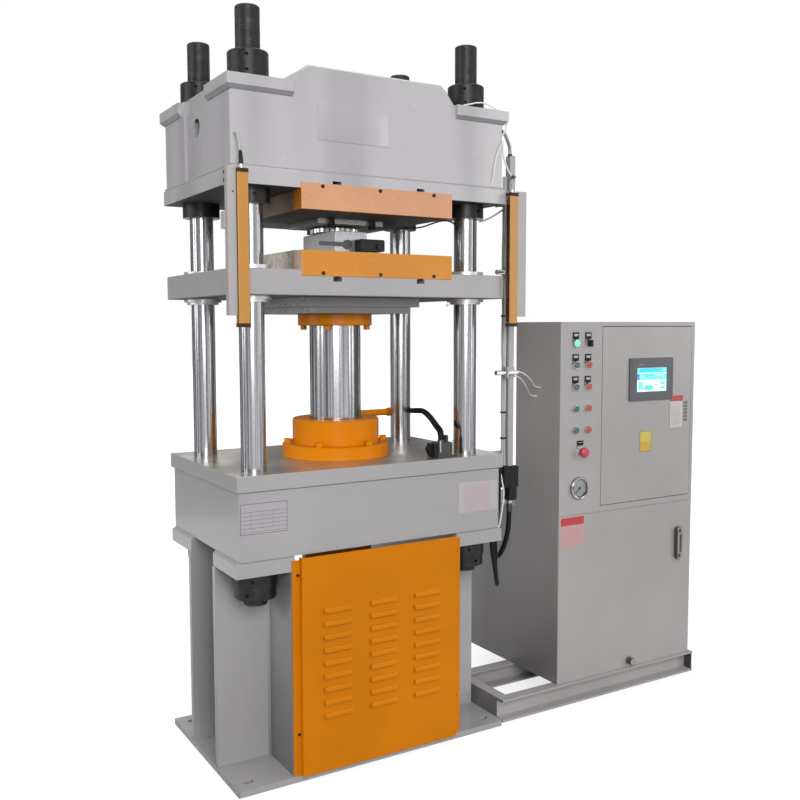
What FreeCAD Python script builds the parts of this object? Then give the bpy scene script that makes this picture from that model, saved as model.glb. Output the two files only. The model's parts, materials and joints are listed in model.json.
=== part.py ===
import FreeCAD
import Part

import math
import os

# Four-column hydraulic press with an upstroke ram, and beside it, on a skid of
# channels, its oil tank and control cabinet.  Millimetres, +Z up, +X to the right
# and -Y to the front.  The origin is on the ram's axis, under the foot plate.

V = FreeCAD.Vector

# ------------------------------------------------------------ driving dimensions
# foot plate and legs
FOOT_X, FOOT_Y, FOOT_T = 1014.0, 638.0, 20.0
SLOT_LONG, SLOT_WIDE = 34.0, 18.0
SLOT_X, SLOT_Y = 457.0, 268.0
LEG_WEB_X, LEG_WEB_T, LEG_WEB_Y = 320.0, 12.0, 614.0
LEG_FIN_Y, LEG_FIN_T, LEG_FIN_REACH = 128.0, 20.0, 185.0
# lower beam
BED_X, BED_Y, BED_PLATE_T = 1000.0, 644.0, 48.0
BED_TOP = 1000.0
BEAM_DEEP = 315.0
BEAM_INSET = 9.0
BEAM_PAD_T, BEAM_PAD_PROUD, BEAM_PAD_BEVEL = 50.0, 11.0, 8.0
BEAM_PAD_REACH = 196.0
# columns and their round nuts
COLUMN_D, COLUMN_X, COLUMN_Y = 80.0, 404.0, 222.0
STUD_D, STUD_CHAMFER = 75.0, 3.0
STUD_UP, STUD_DOWN = 2416.0, 576.0
NUT_D, NUT_CHAMFER = 126.0, 3.0
TOP_NUT_H, COLLAR_NUT_H, BASE_NUT_H = 42.0, 48.0, 40.0
BASE_NUT_D, BASE_NUT_STEP = 138.0, 6.0
TOMMY_D, TOMMY_DEEP, TOMMY_COUNT = 14.0, 14.0, 2
# turns of each column's nuts: collar, lower top, upper top, upper base, lower base
NUT_TURNS = ((81.0, 64.0, 64.0, 60.0, 44.0), (66.0, 61.0, 61.0, 70.0, 52.0),
             (100.0, 53.0, 50.0, 68.0, 94.0), (85.0, 74.0, 80.0, 62.0, 77.0))
# upper crosshead
HEAD_BOTTOM, HEAD_FLANGE_T = 1874.0, 53.0
HEAD_FLANGE_X, HEAD_FLANGE_Y = 1008.0, 644.0
HEAD_BODY_X, HEAD_BODY_Y = 996.0, 624.0
HEAD_LEDGE_Z = 2190.0
HEAD_PAD_T, HEAD_PAD_PROUD, HEAD_PAD_BEVEL = 45.0, 14.0, 12.0
HUMP_FOOT_X, HUMP_KNEE_X, HUMP_TOP_X = 592.0, 532.0, 484.0
HUMP_KNEE_RISE, HUMP_RISE = 38.0, 58.0
HEAD_SIDE_RECESS, HEAD_SIDE_RECESS_Y = 6.0, 212.0
LIFT_HOLE_D, LIFT_HOLE_DEEP, LIFT_HOLE_Z = 58.0, 70.0, 2087.0
WELD = 7.0
# tee slots of the crosshead and of the platen
TEE_X = 154.0
TEE_NECK_W, TEE_HEAD_W, TEE_HEAD_H = 18.0, 30.0, 14.0
TEE_DEEP_HEAD, TEE_DEEP_PLATEN = 27.0, 35.0
# moving platen, its bushes and the plates under it
PLATEN_X, PLATEN_Y, PLATEN_T, PLATEN_BOTTOM = 998.0, 644.0, 80.0, 1547.0
BUSH_D, BUSH_CAP_T = 126.0, 14.0
BUSH_BODY_D, BUSH_STEP_D, BUSH_STEP_T, BUSH_NOSE_T = 104.0, 128.0, 11.0, 8.0
RISER_X, RISER_Y, RISER_T = 432.0, 432.0, 30.0
SEAT_X, SEAT_Y, SEAT_T = 380.0, 400.0, 22.0
# bolsters and their covers
BOLSTER_X, BOLSTER_Y, BOLSTER_T = 550.0, 530.0, 63.0
COVER_X, COVER_SHEET, COVER_H_UP, COVER_H_LOW = 556.0, 2.0, 81.0, 79.0
COVER_DEEP, COVER_LAP_UP, COVER_LAP_LOW = 57.0, 18.0, 19.0
COVER_SCREW_D, COVER_SCREW_H, COVER_SCREW_X = 12.0, 3.0, 205.0
# ram and cylinder
RAM_D, RAM_LONG = 180.0, 700.0
RAM_FLANGE_D, RAM_FLANGE_T = 260.0, 40.0
RAM_BOLT_D, RAM_BOLT_H, RAM_BOLT_PCD, RAM_BOLTS = 22.0, 15.0, 228.0, 4
RAM_BOLT_TURN = 50.0
BARREL_D, BARREL_BORE, BARREL_FLOOR, BARREL_BOTTOM = 250.0, 190.0, 36.0, 380.0
CYL_FLANGE_D, CYL_FLANGE_T = 378.0, 44.0
GLAND_D, GLAND_H, GLAND_LIP = 306.0, 86.0, 4.0
CYL_BOLT_D, CYL_BOLT_H, CYL_BOLT_PCD, CYL_BOLTS = 25.0, 16.0, 345.0, 6
CYL_BOLT_TURN = 44.0
# louvred front cover between the legs
GUARD_X, GUARD_SHEET, GUARD_FRONT, GUARD_TOP = 588.0, 2.0, 335.0, 729.0
GUARD_FLANGE_DROP = 9.0
GUARD_SCREW_X, GUARD_SCREW_Z = 301.0, (156.0, 672.0)
GUARD_SCREW_D, GUARD_SCREW_H = 10.0, 3.0
LUG_W, LUG_LONG, LUG_BACK = 15.0, 26.0, 20.0
LOUVRE_LONG, LOUVRE_TALL, LOUVRE_PROUD = 100.0, 18.0, 9.0
LOUVRE_PITCH_Z, LOUVRE_PITCH_X, LOUVRE_ROWS, LOUVRE_COLUMNS = 43.0, 170.0, 9, 3
LOUVRE_LOW_Z = 198.0
# leak pipe and black conduit behind the ram
PIPE_D, PIPE_X, PIPE_Y, PIPE_UP = 26.0, 110.0, 295.0, 63.0
PIPE_END_X, PIPE_BEND = 400.0, 45.0
COUPLING_D, COUPLING_LONG = 34.0, 30.0
CONDUIT_D = 21.0
# connector box on the bed
BOX_X, BOX_Y, BOX_W, BOX_DEEP, BOX_H = 275.0, -268.0, 57.0, 50.0, 48.0
BOX_BASE_X, BOX_BASE_W, BOX_BASE_DEEP, BOX_BASE_T = 281.0, 82.0, 60.0, 4.0
BOX_STRIP_W, BOX_PLUG_W, BOX_PLUG_DEEP, BOX_LEVER_UP = 17.0, 15.0, 26.0, 23.0
BOX_GLAND_D, BOX_GLAND_H, BOX_GLAND_OFF = 25.0, 7.0, 3.0
BOX_CATCH_W, BOX_CATCH_DEEP, BOX_CATCH_H, BOX_CATCH_GAP = 10.0, 16.0, 22.0, 3.0
# light curtains on their brackets
CURTAIN_W, CURTAIN_DEEP, CURTAIN_H, CURTAIN_BOTTOM = 35.0, 25.0, 462.0, 1450.0
CURTAIN_CAP_H = 12.0
CURTAIN_LEFT_X, CURTAIN_RIGHT_X = -478.0, 519.0
BRACKET_T, BRACKET_GAP, BRACKET_BOTTOM, BRACKET_TOP = 4.0, 2.0, 1485.0, 1918.0
BRACKET_LEFT_REACH, BRACKET_RIGHT_REACH, BRACKET_FOLD = 524.0, 578.0, 17.0
BRACKET_LEFT_INNER = 462.0
BRACKET_TAB_H, BRACKET_TAB_LONG = 48.0, 60.0
BRACKET_BOLT_D, BRACKET_BOLT_H = 13.0, 6.0
# limit switch behind the left bracket
SWITCH_W, SWITCH_DEEP, SWITCH_H, SWITCH_TOP, SWITCH_IN = 24.0, 30.0, 50.0, 1790.0, 22.0
# sensor rail with two barrel sensors, its cable bundle and its junction block
RAIL_X, RAIL_Y, RAIL_W, RAIL_DEEP, RAIL_WALL = 591.0, -237.0, 24.0, 27.0, 3.0
RAIL_DOWN, RAIL_UP = 60.0, 184.0
RAIL_TAB_DOWN, RAIL_TAB_UP = 25.0, 26.0
RAIL_TAB_H, RAIL_TAB_T = 40.0, 5.0
SENSOR_D, SENSOR_LONG, SENSOR_TIP_GAP = 18.0, 96.0, 16.0
SENSOR_Z = (1284.0, 1643.0)
SENSOR_NUT_D, SENSOR_NUT_T = 26.0, 7.0
BUNDLE_D, BUNDLE_BOTTOM, BUNDLE_TOP = 20.0, 942.0, 1985.0
BUNDLE_TIE_Z = (1040.0, 1135.0, 1485.0)
BUNDLE_TIE_D, BUNDLE_TIE_H = 24.0, 6.0
JUNCTION_W, JUNCTION_DEEP, JUNCTION_H = 66.0, 46.0, 78.0
JUNCTION_NECK_W, JUNCTION_NECK_H = 34.0, 50.0
# cords: hose to the beam, loop beside the bed, sensor wires, curtain and top leads
HOSE_D, LOOP_D, WIRE_D, LEAD_D, TOP_LEAD_D = 19.0, 16.0, 5.0, 8.0, 12.0
# tooling between the bolsters
DIE_X, DIE_Y, DIE_H = 122.0, 250.0, 83.0
DIE_RING_D, DIE_RING_H, DIE_TEETH, DIE_TOOTH = 168.0, 17.0, 28, 6.0
DIE_PLATE_X, DIE_PLATE_Y, DIE_PLATE_T = 250.0, 250.0, 17.0
CLAMP_W, CLAMP_H, CLAMP_X, CLAMP_REAR_X, CLAMP_STEP = 16.0, 30.0, 78.0, 30.0, 6.0
STRAP_LONG, STRAP_W, STRAP_T, STRAP_Z = 121.0, 30.0, 13.0, 32.0
HOLDER_LONG, HOLDER_W, HOLDER_H, HOLDER_KNOB_D = 94.0, 44.0, 40.0, 20.0
# oil tank and control cabinet
CAB_X0, CAB_W, CAB_FRONT = 793.0, 720.0, -288.0
CAB_DEEP, CAB_TOP = 264.0, 1467.0
TANK_DEEP, TANK_TOP = 600.0, 731.0
CAB_SHEET = 2.0
CAB_REVEAL = 3.0
DOOR_X0, DOOR_W, DOOR_Z0, DOOR_H, DOOR_T = 1003.0, 490.0, 757.0, 691.0, 22.0
DOOR_GAP, DOOR_PROUD, DOOR_SHEET = 2.5, 1.0, 2.0
HMI_X0, HMI_W, HMI_Z0, HMI_H, HMI_PROUD = 1141.0, 238.0, 1156.0, 169.0, 10.0
HMI_BACK_W, HMI_BACK_H, HMI_BACK_DEEP = 216.0, 147.0, 34.0
SCREEN_X0, SCREEN_W, SCREEN_Z0, SCREEN_H = 1177.0, 164.0, 1191.0, 95.0
SCREEN_SUNK = 1.5
# operating elements
BUTTON_X = (865.0, 927.0)
BUTTON_Z = (1058.0, 1140.0, 1222.0, 1305.0, 1387.0)
BEZEL_D, BEZEL_PROUD, BUTTON_D, BUTTON_PROUD, BUTTON_TRAVEL = 30.0, 11.0, 22.0, 5.0, 4.0
BUTTON_FIT = 0.4
LEGEND_W, LEGEND_H, LEGEND_T, LEGEND_WINDOW_W, LEGEND_WINDOW_H = 32.0, 48.0, 1.5, 26.0, 12.0
SELECTOR_W, SELECTOR_LONG, SELECTOR_TALL = 9.0, 30.0, 16.0
ESTOP_X, ESTOP_Z, ESTOP_HEAD_D, ESTOP_HEAD_T, ESTOP_STEM = 896.0, 974.0, 38.0, 16.0, 8.0
GAUGE_X, GAUGE_Z, GAUGE_D, GAUGE_BEZEL_W, GAUGE_PROUD = 888.0, 836.0, 86.0, 8.0, 14.0
GAUGE_FACE_SUNK, NEEDLE_LONG, NEEDLE_W, NEEDLE_T, HUB_D = 8.0, 28.0, 3.0, 1.0, 9.0
LEVEL_X, LEVEL_Z, LEVEL_W, LEVEL_H, LEVEL_PROUD = 1432.0, 559.0, 34.0, 138.0, 20.0
LEVEL_TUBE_W, LEVEL_TUBE_H, LEVEL_BOLT_D = 12.0, 76.0, 16.0
DRAIN_X, DRAIN_Z, DRAIN_D, DRAIN_LONG = 1170.0, 108.0, 30.0, 24.0
# skid of channels
SKID_X0, SKID_X1, SKID_FRONT, SKID_REAR = 524.0, 1524.0, -302.0, 316.0
CHANNEL_H, CHANNEL_W, CHANNEL_WEB, CHANNEL_FLANGE = 83.0, 43.0, 6.0, 8.0
SKID_MID_Y, SKID_REAR_X0 = -16.0, 960.0
# clearances
COLUMN_FIT = 0.05
HOLE_CLEAR = 1.0
SEAM_CLEAR = 0.3

# ------------------------------------------------------------------ derived sizes
BEAM_BOTTOM = BED_TOP - BEAM_DEEP
BEAM_HALF_X = BED_X / 2 - BEAM_INSET
BEAM_HALF_Y = BED_Y / 2 - BEAM_INSET
PAD_TOP = BEAM_BOTTOM + BEAM_PAD_T
GUARD_SEAT_Y = -BEAM_HALF_Y - 1.0 - SEAM_CLEAR
HEAD_FLANGE_TOP = HEAD_BOTTOM + HEAD_FLANGE_T
HEAD_PAD_Z = HEAD_LEDGE_Z - HEAD_PAD_T
PLATEN_TOP = PLATEN_BOTTOM + PLATEN_T
RISER_BOTTOM = PLATEN_BOTTOM - RISER_T
SEAT_BOTTOM = RISER_BOTTOM - SEAT_T
RAM_FLANGE_BOTTOM = SEAT_BOTTOM - RAM_FLANGE_T
CYL_FLANGE_TOP = BED_TOP + CYL_FLANGE_T
GLAND_TOP = CYL_FLANGE_TOP + GLAND_H
PIPE_Z = CYL_FLANGE_TOP + PIPE_UP
RAIL_BOTTOM, RAIL_TOP = BED_TOP - RAIL_DOWN, HEAD_BOTTOM + RAIL_UP
RAIL_TAB_Z = (BED_TOP - RAIL_TAB_DOWN, HEAD_BOTTOM + RAIL_TAB_UP)
DIE_Z = PLATEN_TOP + BOLSTER_T
UPPER_BOLSTER_BOTTOM = HEAD_BOTTOM - BOLSTER_T
CAB_X1 = CAB_X0 + CAB_W
BUNDLE_X = RAIL_X - RAIL_W / 2 - BUNDLE_TIE_D / 2 - SEAM_CLEAR
BUNDLE_Y = RAIL_Y + RAIL_DEEP / 2 - BUNDLE_TIE_D / 2 - SEAM_CLEAR
COLUMNS = [(sx * COLUMN_X, sy * COLUMN_Y) for sx in (-1, 1) for sy in (-1, 1)]


# ---------------------------------------------------------------- shape functions
def block(x0, x1, y0, y1, z0, z1):
    """A box between two corners."""
    return Part.makeBox(x1 - x0, y1 - y0, z1 - z0, V(x0, y0, z0))


def slab(cx, cy, wide, deep, z0, z1):
    """A box centred on (cx, cy), from z0 up to z1."""
    return block(cx - wide / 2, cx + wide / 2, cy - deep / 2, cy + deep / 2, z0, z1)


def rod(d, z0, z1, x=0.0, y=0.0):
    """An upright cylinder of diameter d."""
    return Part.makeCylinder(d / 2, z1 - z0, V(x, y, z0))


def lying(d, start, along, length):
    """A cylinder of diameter d from a start point along a direction."""
    return Part.makeCylinder(d / 2, length, V(*start), V(*along))


def polygon(points):
    """A face from a closed run of corners."""
    corners = [V(*p) for p in points]
    return Part.Face(Part.makePolygon(corners + corners[:1]))


def turned(profile, x=0.0, y=0.0):
    """A profile of (radius, z) pairs turned about the upright axis at (x, y)."""
    face = polygon([(x + r, y, z) for r, z in profile])
    return face.revolve(V(x, y, 0), V(0, 0, 1), 360)


def turned_front(profile, x, z):
    """A profile of (radius, distance to the front) pairs turned about an axis along Y."""
    face = polygon([(x + r, CAB_FRONT - out, z) for r, out in profile])
    return face.revolve(V(x, CAB_FRONT, z), V(0, 1, 0), 360)


def drill(shape, tools):
    """The shape less all the tools."""
    for tool in tools:
        shape = shape.cut(tool)
    return shape


def join(shapes):
    """One solid out of shapes that meet."""
    whole = shapes[0].fuse(shapes[1:]) if len(shapes) > 1 else shapes[0]
    return whole.removeSplitter()


def edges_where(shape, test):
    """The edges whose middle passes a test."""
    return [e for e in shape.Edges if test(e.BoundBox.Center, e.BoundBox)]


def mirrored(shape):
    """The shape on the other side of the plane x = 0."""
    return shape.mirror(V(0, 0, 0), V(1, 0, 0))


def on_circle(pcd, count, start):
    """Points of a bolt circle."""
    for i in range(count):
        a = math.radians(start + 360.0 * i / count)
        yield pcd / 2 * math.cos(a), pcd / 2 * math.sin(a)


def save(name, *solids):
    """Write one sub-part."""
    shape = solids[0] if len(solids) == 1 else Part.makeCompound(list(solids))
    shape.exportStep("parts/%s.step" % name)


# ----------------------------------------------------------------- foot and legs
def foot_plate():
    """The thick plate under both legs, with a slot for an anchor near each corner."""
    plate = slab(0, 0, FOOT_X, FOOT_Y, 0, FOOT_T)
    plate = plate.makeChamfer(2.0, edges_where(plate, lambda c, b: b.ZLength > FOOT_T / 2))
    straight = (SLOT_LONG - SLOT_WIDE) / 2
    for sx in (-1, 1):
        for sy in (-1, 1):
            x, y = sx * SLOT_X, sy * SLOT_Y
            ends = [rod(SLOT_WIDE, -1, FOOT_T + 1, x + s * straight, y) for s in (-1, 1)]
            middle = slab(x, y, 2 * straight, SLOT_WIDE, -1, FOOT_T + 1)
            plate = drill(plate, ends + [middle])
    return plate


def leg():
    """The left leg: a web along the side of the opening and two fins reaching out."""
    web_y = LEG_WEB_Y / 2
    web = block(-LEG_WEB_X, -LEG_WEB_X + LEG_WEB_T, -web_y, web_y, FOOT_T, BEAM_BOTTOM)
    parts = [web]
    for side in (-1, 1):
        y0, y1 = sorted((side * LEG_FIN_Y, side * (LEG_FIN_Y - LEG_FIN_T)))
        parts.append(block(-LEG_WEB_X - LEG_FIN_REACH, -LEG_WEB_X, y0, y1, FOOT_T, BEAM_BOTTOM))
        bead = polygon([(-LEG_WEB_X, side * LEG_FIN_Y, FOOT_T),
                        (-LEG_WEB_X - WELD, side * LEG_FIN_Y, FOOT_T),
                        (-LEG_WEB_X, side * (LEG_FIN_Y + WELD), FOOT_T)])
        parts.append(bead.extrude(V(0, 0, BEAM_BOTTOM - FOOT_T)))
    inner = -LEG_WEB_X + LEG_WEB_T
    for z in GUARD_SCREW_Z:
        parts.append(block(inner, inner + LUG_W, GUARD_SEAT_Y, -web_y + LUG_BACK,
                           z - LUG_LONG / 2, z + LUG_LONG / 2))
    return join(parts)


# -------------------------------------------------------------------- lower beam
def pad_block(x0, x1, y0, y1, z0, z1, bevel, top_side):
    """A corner pad whose outer edges are bevelled towards the body."""
    pad = block(x0, x1, y0, y1, z0, z1)
    z = z0 if top_side else z1
    outer_x = max(abs(x0), abs(x1))
    outer_y = max(abs(y0), abs(y1))
    picked = edges_where(pad, lambda c, b: abs(c.z - z) < 0.01
                         and (abs(abs(c.x) - outer_x) < 0.01 or abs(abs(c.y) - outer_y) < 0.01))
    return pad.makeChamfer(bevel, picked)


def lower_beam():
    """The lower beam: a thick top plate on a closed box body, with four pads below."""
    hx, hy = BEAM_HALF_X, BEAM_HALF_Y
    plate_under = BED_TOP - BED_PLATE_T
    plate = slab(0, 0, BED_X, BED_Y, plate_under, BED_TOP)
    plate = plate.makeChamfer(2.0, edges_where(plate, lambda c, b: abs(c.z - BED_TOP) < 0.01))
    walls = slab(0, 0, 2 * hx, 2 * hy, PAD_TOP, plate_under)
    walls = walls.makeChamfer(3.0, edges_where(walls, lambda c, b: b.ZLength > BEAM_PAD_T))
    parts = [plate, walls]
    for sx in (-1, 1):
        x0, x1 = sorted((sx * (LEG_WEB_X - LEG_WEB_T), sx * (hx + BEAM_PAD_PROUD)))
        for sy in (-1, 1):
            y_in = LEG_FIN_Y - LEG_FIN_T
            y0, y1 = sorted((sy * y_in, sy * (hy + 1.0)))
            parts.append(pad_block(x0, x1, y0, y1, BEAM_BOTTOM, PAD_TOP, BEAM_PAD_BEVEL, False))
    beam = join(parts)
    tools = [rod(COLUMN_D + 2 * COLUMN_FIT, BEAM_BOTTOM - 1, BED_TOP + 1, x, y) for x, y in COLUMNS]
    tools.append(rod(BARREL_D + HOLE_CLEAR, PAD_TOP - 1, BED_TOP + 1))
    return drill(beam, tools)


# -------------------------------------------------------------- columns and nuts
def column(x, y):
    """One polished column with a threaded stud of smaller diameter at each end."""
    r, s, c = COLUMN_D / 2, STUD_D / 2, STUD_CHAMFER
    low, high = BEAM_BOTTOM, HEAD_LEDGE_Z
    return turned([(0, STUD_DOWN), (s, STUD_DOWN), (s, low), (r, low),
                   (r, high), (s, high), (s, STUD_UP - c), (s - c, STUD_UP), (0, STUD_UP)], x, y)


def nut(x, y, z, tall, wide, bore, turn, rim=0):
    """A round nut with two radial tommy holes; rim is +1 or -1 where an end is chamfered."""
    r, b = wide / 2, bore / 2 + COLUMN_FIT
    low = NUT_CHAMFER if rim < 0 else 0
    high = NUT_CHAMFER if rim > 0 else 0
    profile = [(b, z), (r - low, z), (r, z + low), (r, z + tall - high), (r - high, z + tall),
               (b, z + tall)]
    corners = [p for i, p in enumerate(profile) if p != profile[i - 1]]
    ring = turned(corners, x, y)
    holes = []
    for i in range(TOMMY_COUNT):
        a = math.radians(turn + 360.0 * i / TOMMY_COUNT)
        out, side = V(math.cos(a), math.sin(a), 0), V(-math.sin(a), math.cos(a), 0)
        start = V(x, y, z + tall / 2) + out * (r - TOMMY_DEEP)
        corner = [start + side * (TOMMY_D / 2 * math.cos(math.pi * k / 3))
                  + V(0, 0, TOMMY_D / 2 * math.sin(math.pi * k / 3)) for k in range(6)]
        holes.append(polygon([tuple(c) for c in corner]).extrude(out * (TOMMY_DEEP + 1)))
    return drill(ring, holes)


# --------------------------------------------------------------- upper crosshead
def tee_slot(x, y_half, z_open, up, deep):
    """The cutter of a tee slot that runs along Y and opens at z_open."""
    s = 1 if up else -1
    far, shoulder = z_open + s * deep, z_open + s * (deep - TEE_HEAD_H)
    z0, z1 = sorted((z_open - s, shoulder))
    h0, h1 = sorted((shoulder, far))
    neck = block(x - TEE_NECK_W / 2, x + TEE_NECK_W / 2, -y_half - 1, y_half + 1, z0, z1)
    return neck.fuse(block(x - TEE_HEAD_W / 2, x + TEE_HEAD_W / 2, -y_half - 1, y_half + 1, h0, h1))


def upper_crosshead():
    """Welded crosshead: humped body, bevelled bottom flange and four ledge pads on top."""
    hx, hy = HEAD_BODY_X / 2, HEAD_BODY_Y / 2
    foot, knee, top = HUMP_FOOT_X / 2, HUMP_KNEE_X / 2, HUMP_TOP_X / 2
    z0, z1 = HEAD_FLANGE_TOP, HEAD_LEDGE_Z
    outline = [(-hx, z0), (hx, z0), (hx, z1), (foot, z1), (knee, z1 + HUMP_KNEE_RISE),
               (top, z1 + HUMP_RISE), (-top, z1 + HUMP_RISE), (-knee, z1 + HUMP_KNEE_RISE),
               (-foot, z1), (-hx, z1)]
    body = polygon([(x, -hy, z) for x, z in outline]).extrude(V(0, 2 * hy, 0))
    body = body.makeChamfer(5.0, edges_where(
        body, lambda c, b: c.z > z0 + 1 and abs(abs(c.y) - hy) < 0.01))
    for sx in (-1, 1):
        x0, x1 = sorted((sx * (hx - HEAD_SIDE_RECESS), sx * (hx + 1)))
        half = HEAD_SIDE_RECESS_Y / 2
        body = body.cut(block(x0, x1, -half, half, z0 - 1, z1 + 1))
        body = body.cut(lying(LIFT_HOLE_D, (sx * (hx + 1), 0, LIFT_HOLE_Z), (-sx, 0, 0),
                              LIFT_HOLE_DEEP))
    flange = slab(0, 0, HEAD_FLANGE_X, HEAD_FLANGE_Y, HEAD_BOTTOM, z0)
    flange = flange.makeChamfer(HEAD_PAD_BEVEL / 2, edges_where(
        flange, lambda c, b: abs(c.z - z0) < 0.01))
    parts = [body, flange]
    for sx in (-1, 1):
        for sy in (-1, 1):
            x0, x1 = sorted((sx * (foot + 2), sx * (hx + HEAD_PAD_PROUD)))
            y0, y1 = sorted((sy * LEG_FIN_Y, sy * (hy + HEAD_PAD_PROUD)))
            parts.append(pad_block(x0, x1, y0, y1, HEAD_PAD_Z, HEAD_LEDGE_Z, HEAD_PAD_BEVEL, True))
    head = join(parts)
    tools = [rod(COLUMN_D + 2 * COLUMN_FIT, HEAD_BOTTOM - 1, HEAD_LEDGE_Z + 1, x, y)
             for x, y in COLUMNS]
    tools += [tee_slot(s * TEE_X, HEAD_FLANGE_Y / 2, HEAD_BOTTOM, True, TEE_DEEP_HEAD)
              for s in (-1, 1)]
    return drill(head, tools)


# --------------------------------------------------------- bolsters and covers
def bolster(z0):
    """A steel bolster plate with eased edges."""
    plate = slab(0, 0, BOLSTER_X, BOLSTER_Y, z0, z0 + BOLSTER_T)
    return plate.makeChamfer(2.0, edges_where(plate, lambda c, b: True))


def tray_cover(z0, tall, return_z0, return_z1, lip_z):
    """A folded sheet in front of a bolster: face, two side returns and one long lip."""
    front = -PLATEN_Y / 2
    hx, t = COVER_X / 2, COVER_SHEET
    back = front + COVER_DEEP
    face = block(-hx, hx, front - t, front, z0, z0 + tall)
    sides = [block(s * hx if s < 0 else hx - t, s * hx + t if s < 0 else hx, front, back,
                   return_z0, return_z1) for s in (-1, 1)]
    lip = block(-hx, hx, front, back, lip_z, lip_z + t)
    cover = join([face, lip] + sides)
    return cover.makeFillet(1.2, edges_where(
        cover, lambda c, b: abs(c.y - (front - t)) < 0.01))


def socket_screw(x, y, z, d, h, axis):
    """The low head of a button screw, standing out along an axis."""
    out = V(*axis)
    return Part.makeCylinder(d / 2, h, V(x, y, z), out)


# ----------------------------------------------------------------- moving platen
def moving_platen():
    """The thick moving plate with its four bores and two tee slots."""
    plate = slab(0, 0, PLATEN_X, PLATEN_Y, PLATEN_BOTTOM, PLATEN_TOP)
    plate = plate.makeChamfer(2.5, edges_where(plate, lambda c, b: True))
    tools = [rod(BUSH_BODY_D + 2 * COLUMN_FIT, PLATEN_BOTTOM - 1, PLATEN_TOP + 1, x, y)
             for x, y in COLUMNS]
    tools += [tee_slot(s * TEE_X, PLATEN_Y / 2, PLATEN_TOP, False, TEE_DEEP_PLATEN)
              for s in (-1, 1)]
    return drill(plate, tools)


def guide_bush(x, y):
    """A flanged guide bush: cap on top, body in the bore, step and nose below."""
    b = COLUMN_D / 2 + 2 * COLUMN_FIT
    cap, body, step, nose = BUSH_D / 2, BUSH_BODY_D / 2, BUSH_STEP_D / 2, BUSH_STEP_D / 2 - 10
    z_cap = PLATEN_TOP + BUSH_CAP_T
    z_step = PLATEN_BOTTOM - BUSH_STEP_T
    return turned([(b, z_step - BUSH_NOSE_T), (nose, z_step - BUSH_NOSE_T), (nose, z_step),
                   (step, z_step), (step, PLATEN_BOTTOM), (body, PLATEN_BOTTOM),
                   (body, PLATEN_TOP), (cap, PLATEN_TOP), (cap, z_cap), (b, z_cap)], x, y)


# --------------------------------------------------------------- ram and cylinder
def ram():
    """The polished ram with a chamfered foot."""
    r, top = RAM_D / 2, RAM_FLANGE_BOTTOM + RAM_FLANGE_T
    low = RAM_FLANGE_BOTTOM - RAM_LONG
    return turned([(0, low), (r - 6, low), (r, low + 6), (r, top), (0, top)])


def ram_flange():
    """The painted ring that holds the ram to its seat plate."""
    b, r = RAM_D / 2 + COLUMN_FIT, RAM_FLANGE_D / 2
    z0, z1 = RAM_FLANGE_BOTTOM, SEAT_BOTTOM
    return turned([(b, z0), (r - 3, z0), (r, z0 + 3), (r, z1), (b, z1)])


def bolt_head(x, y, z, d, h, down):
    """A bolt's cylinder head, above z or, for down, below it."""
    z0, z1 = (z - h, z) if down else (z, z + h)
    return rod(d, z0, z1, x, y)


def cylinder_barrel():
    """The cylinder: a barrel hung through the lower beam from a wide painted flange."""
    ro, ri, rf = BARREL_D / 2, BARREL_BORE / 2, CYL_FLANGE_D / 2
    z0, z1 = BARREL_BOTTOM, CYL_FLANGE_TOP
    profile = [(0, z0), (ro - 8, z0), (ro, z0 + 8), (ro, BED_TOP), (rf, BED_TOP), (rf, z1 - 4),
               (rf - 4, z1), (ri, z1), (ri, z0 + BARREL_FLOOR), (0, z0 + BARREL_FLOOR)]
    return turned(profile)


def cylinder_gland():
    """The tall painted gland ring round the ram, with an eased rim and a sunk wiper seat."""
    r, b = GLAND_D / 2, RAM_D / 2 + COLUMN_FIT
    z0, z1 = CYL_FLANGE_TOP, GLAND_TOP
    ring = turned([(b, z0), (r, z0), (r, z1 - GLAND_LIP), (r - GLAND_LIP, z1), (b + GLAND_LIP, z1),
                   (b + GLAND_LIP, z1 - GLAND_LIP), (b, z1 - GLAND_LIP)])
    port_start = math.sqrt(r * r - PIPE_X * PIPE_X) - 12
    port = lying(PIPE_D + 2 * COLUMN_FIT, (PIPE_X, port_start, PIPE_Z), (0, 1, 0), GLAND_D)
    return ring.cut(port)


# --------------------------------------------------------------- louvred guard
def louvre_outline(x0, x1, proud, low, high, back):
    """The arched section of a louvre, drawn across the sheet and carried along X."""
    y = -GUARD_FRONT
    section = [(back, low), (-proud, low), (-0.86 * proud, low + 0.5 * (high - low)),
               (-0.5 * proud, low + 0.85 * (high - low)), (back, high)]
    face = polygon([(x0, y + out, z) for out, z in section])
    return face.extrude(V(x1 - x0, 0, 0))


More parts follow.
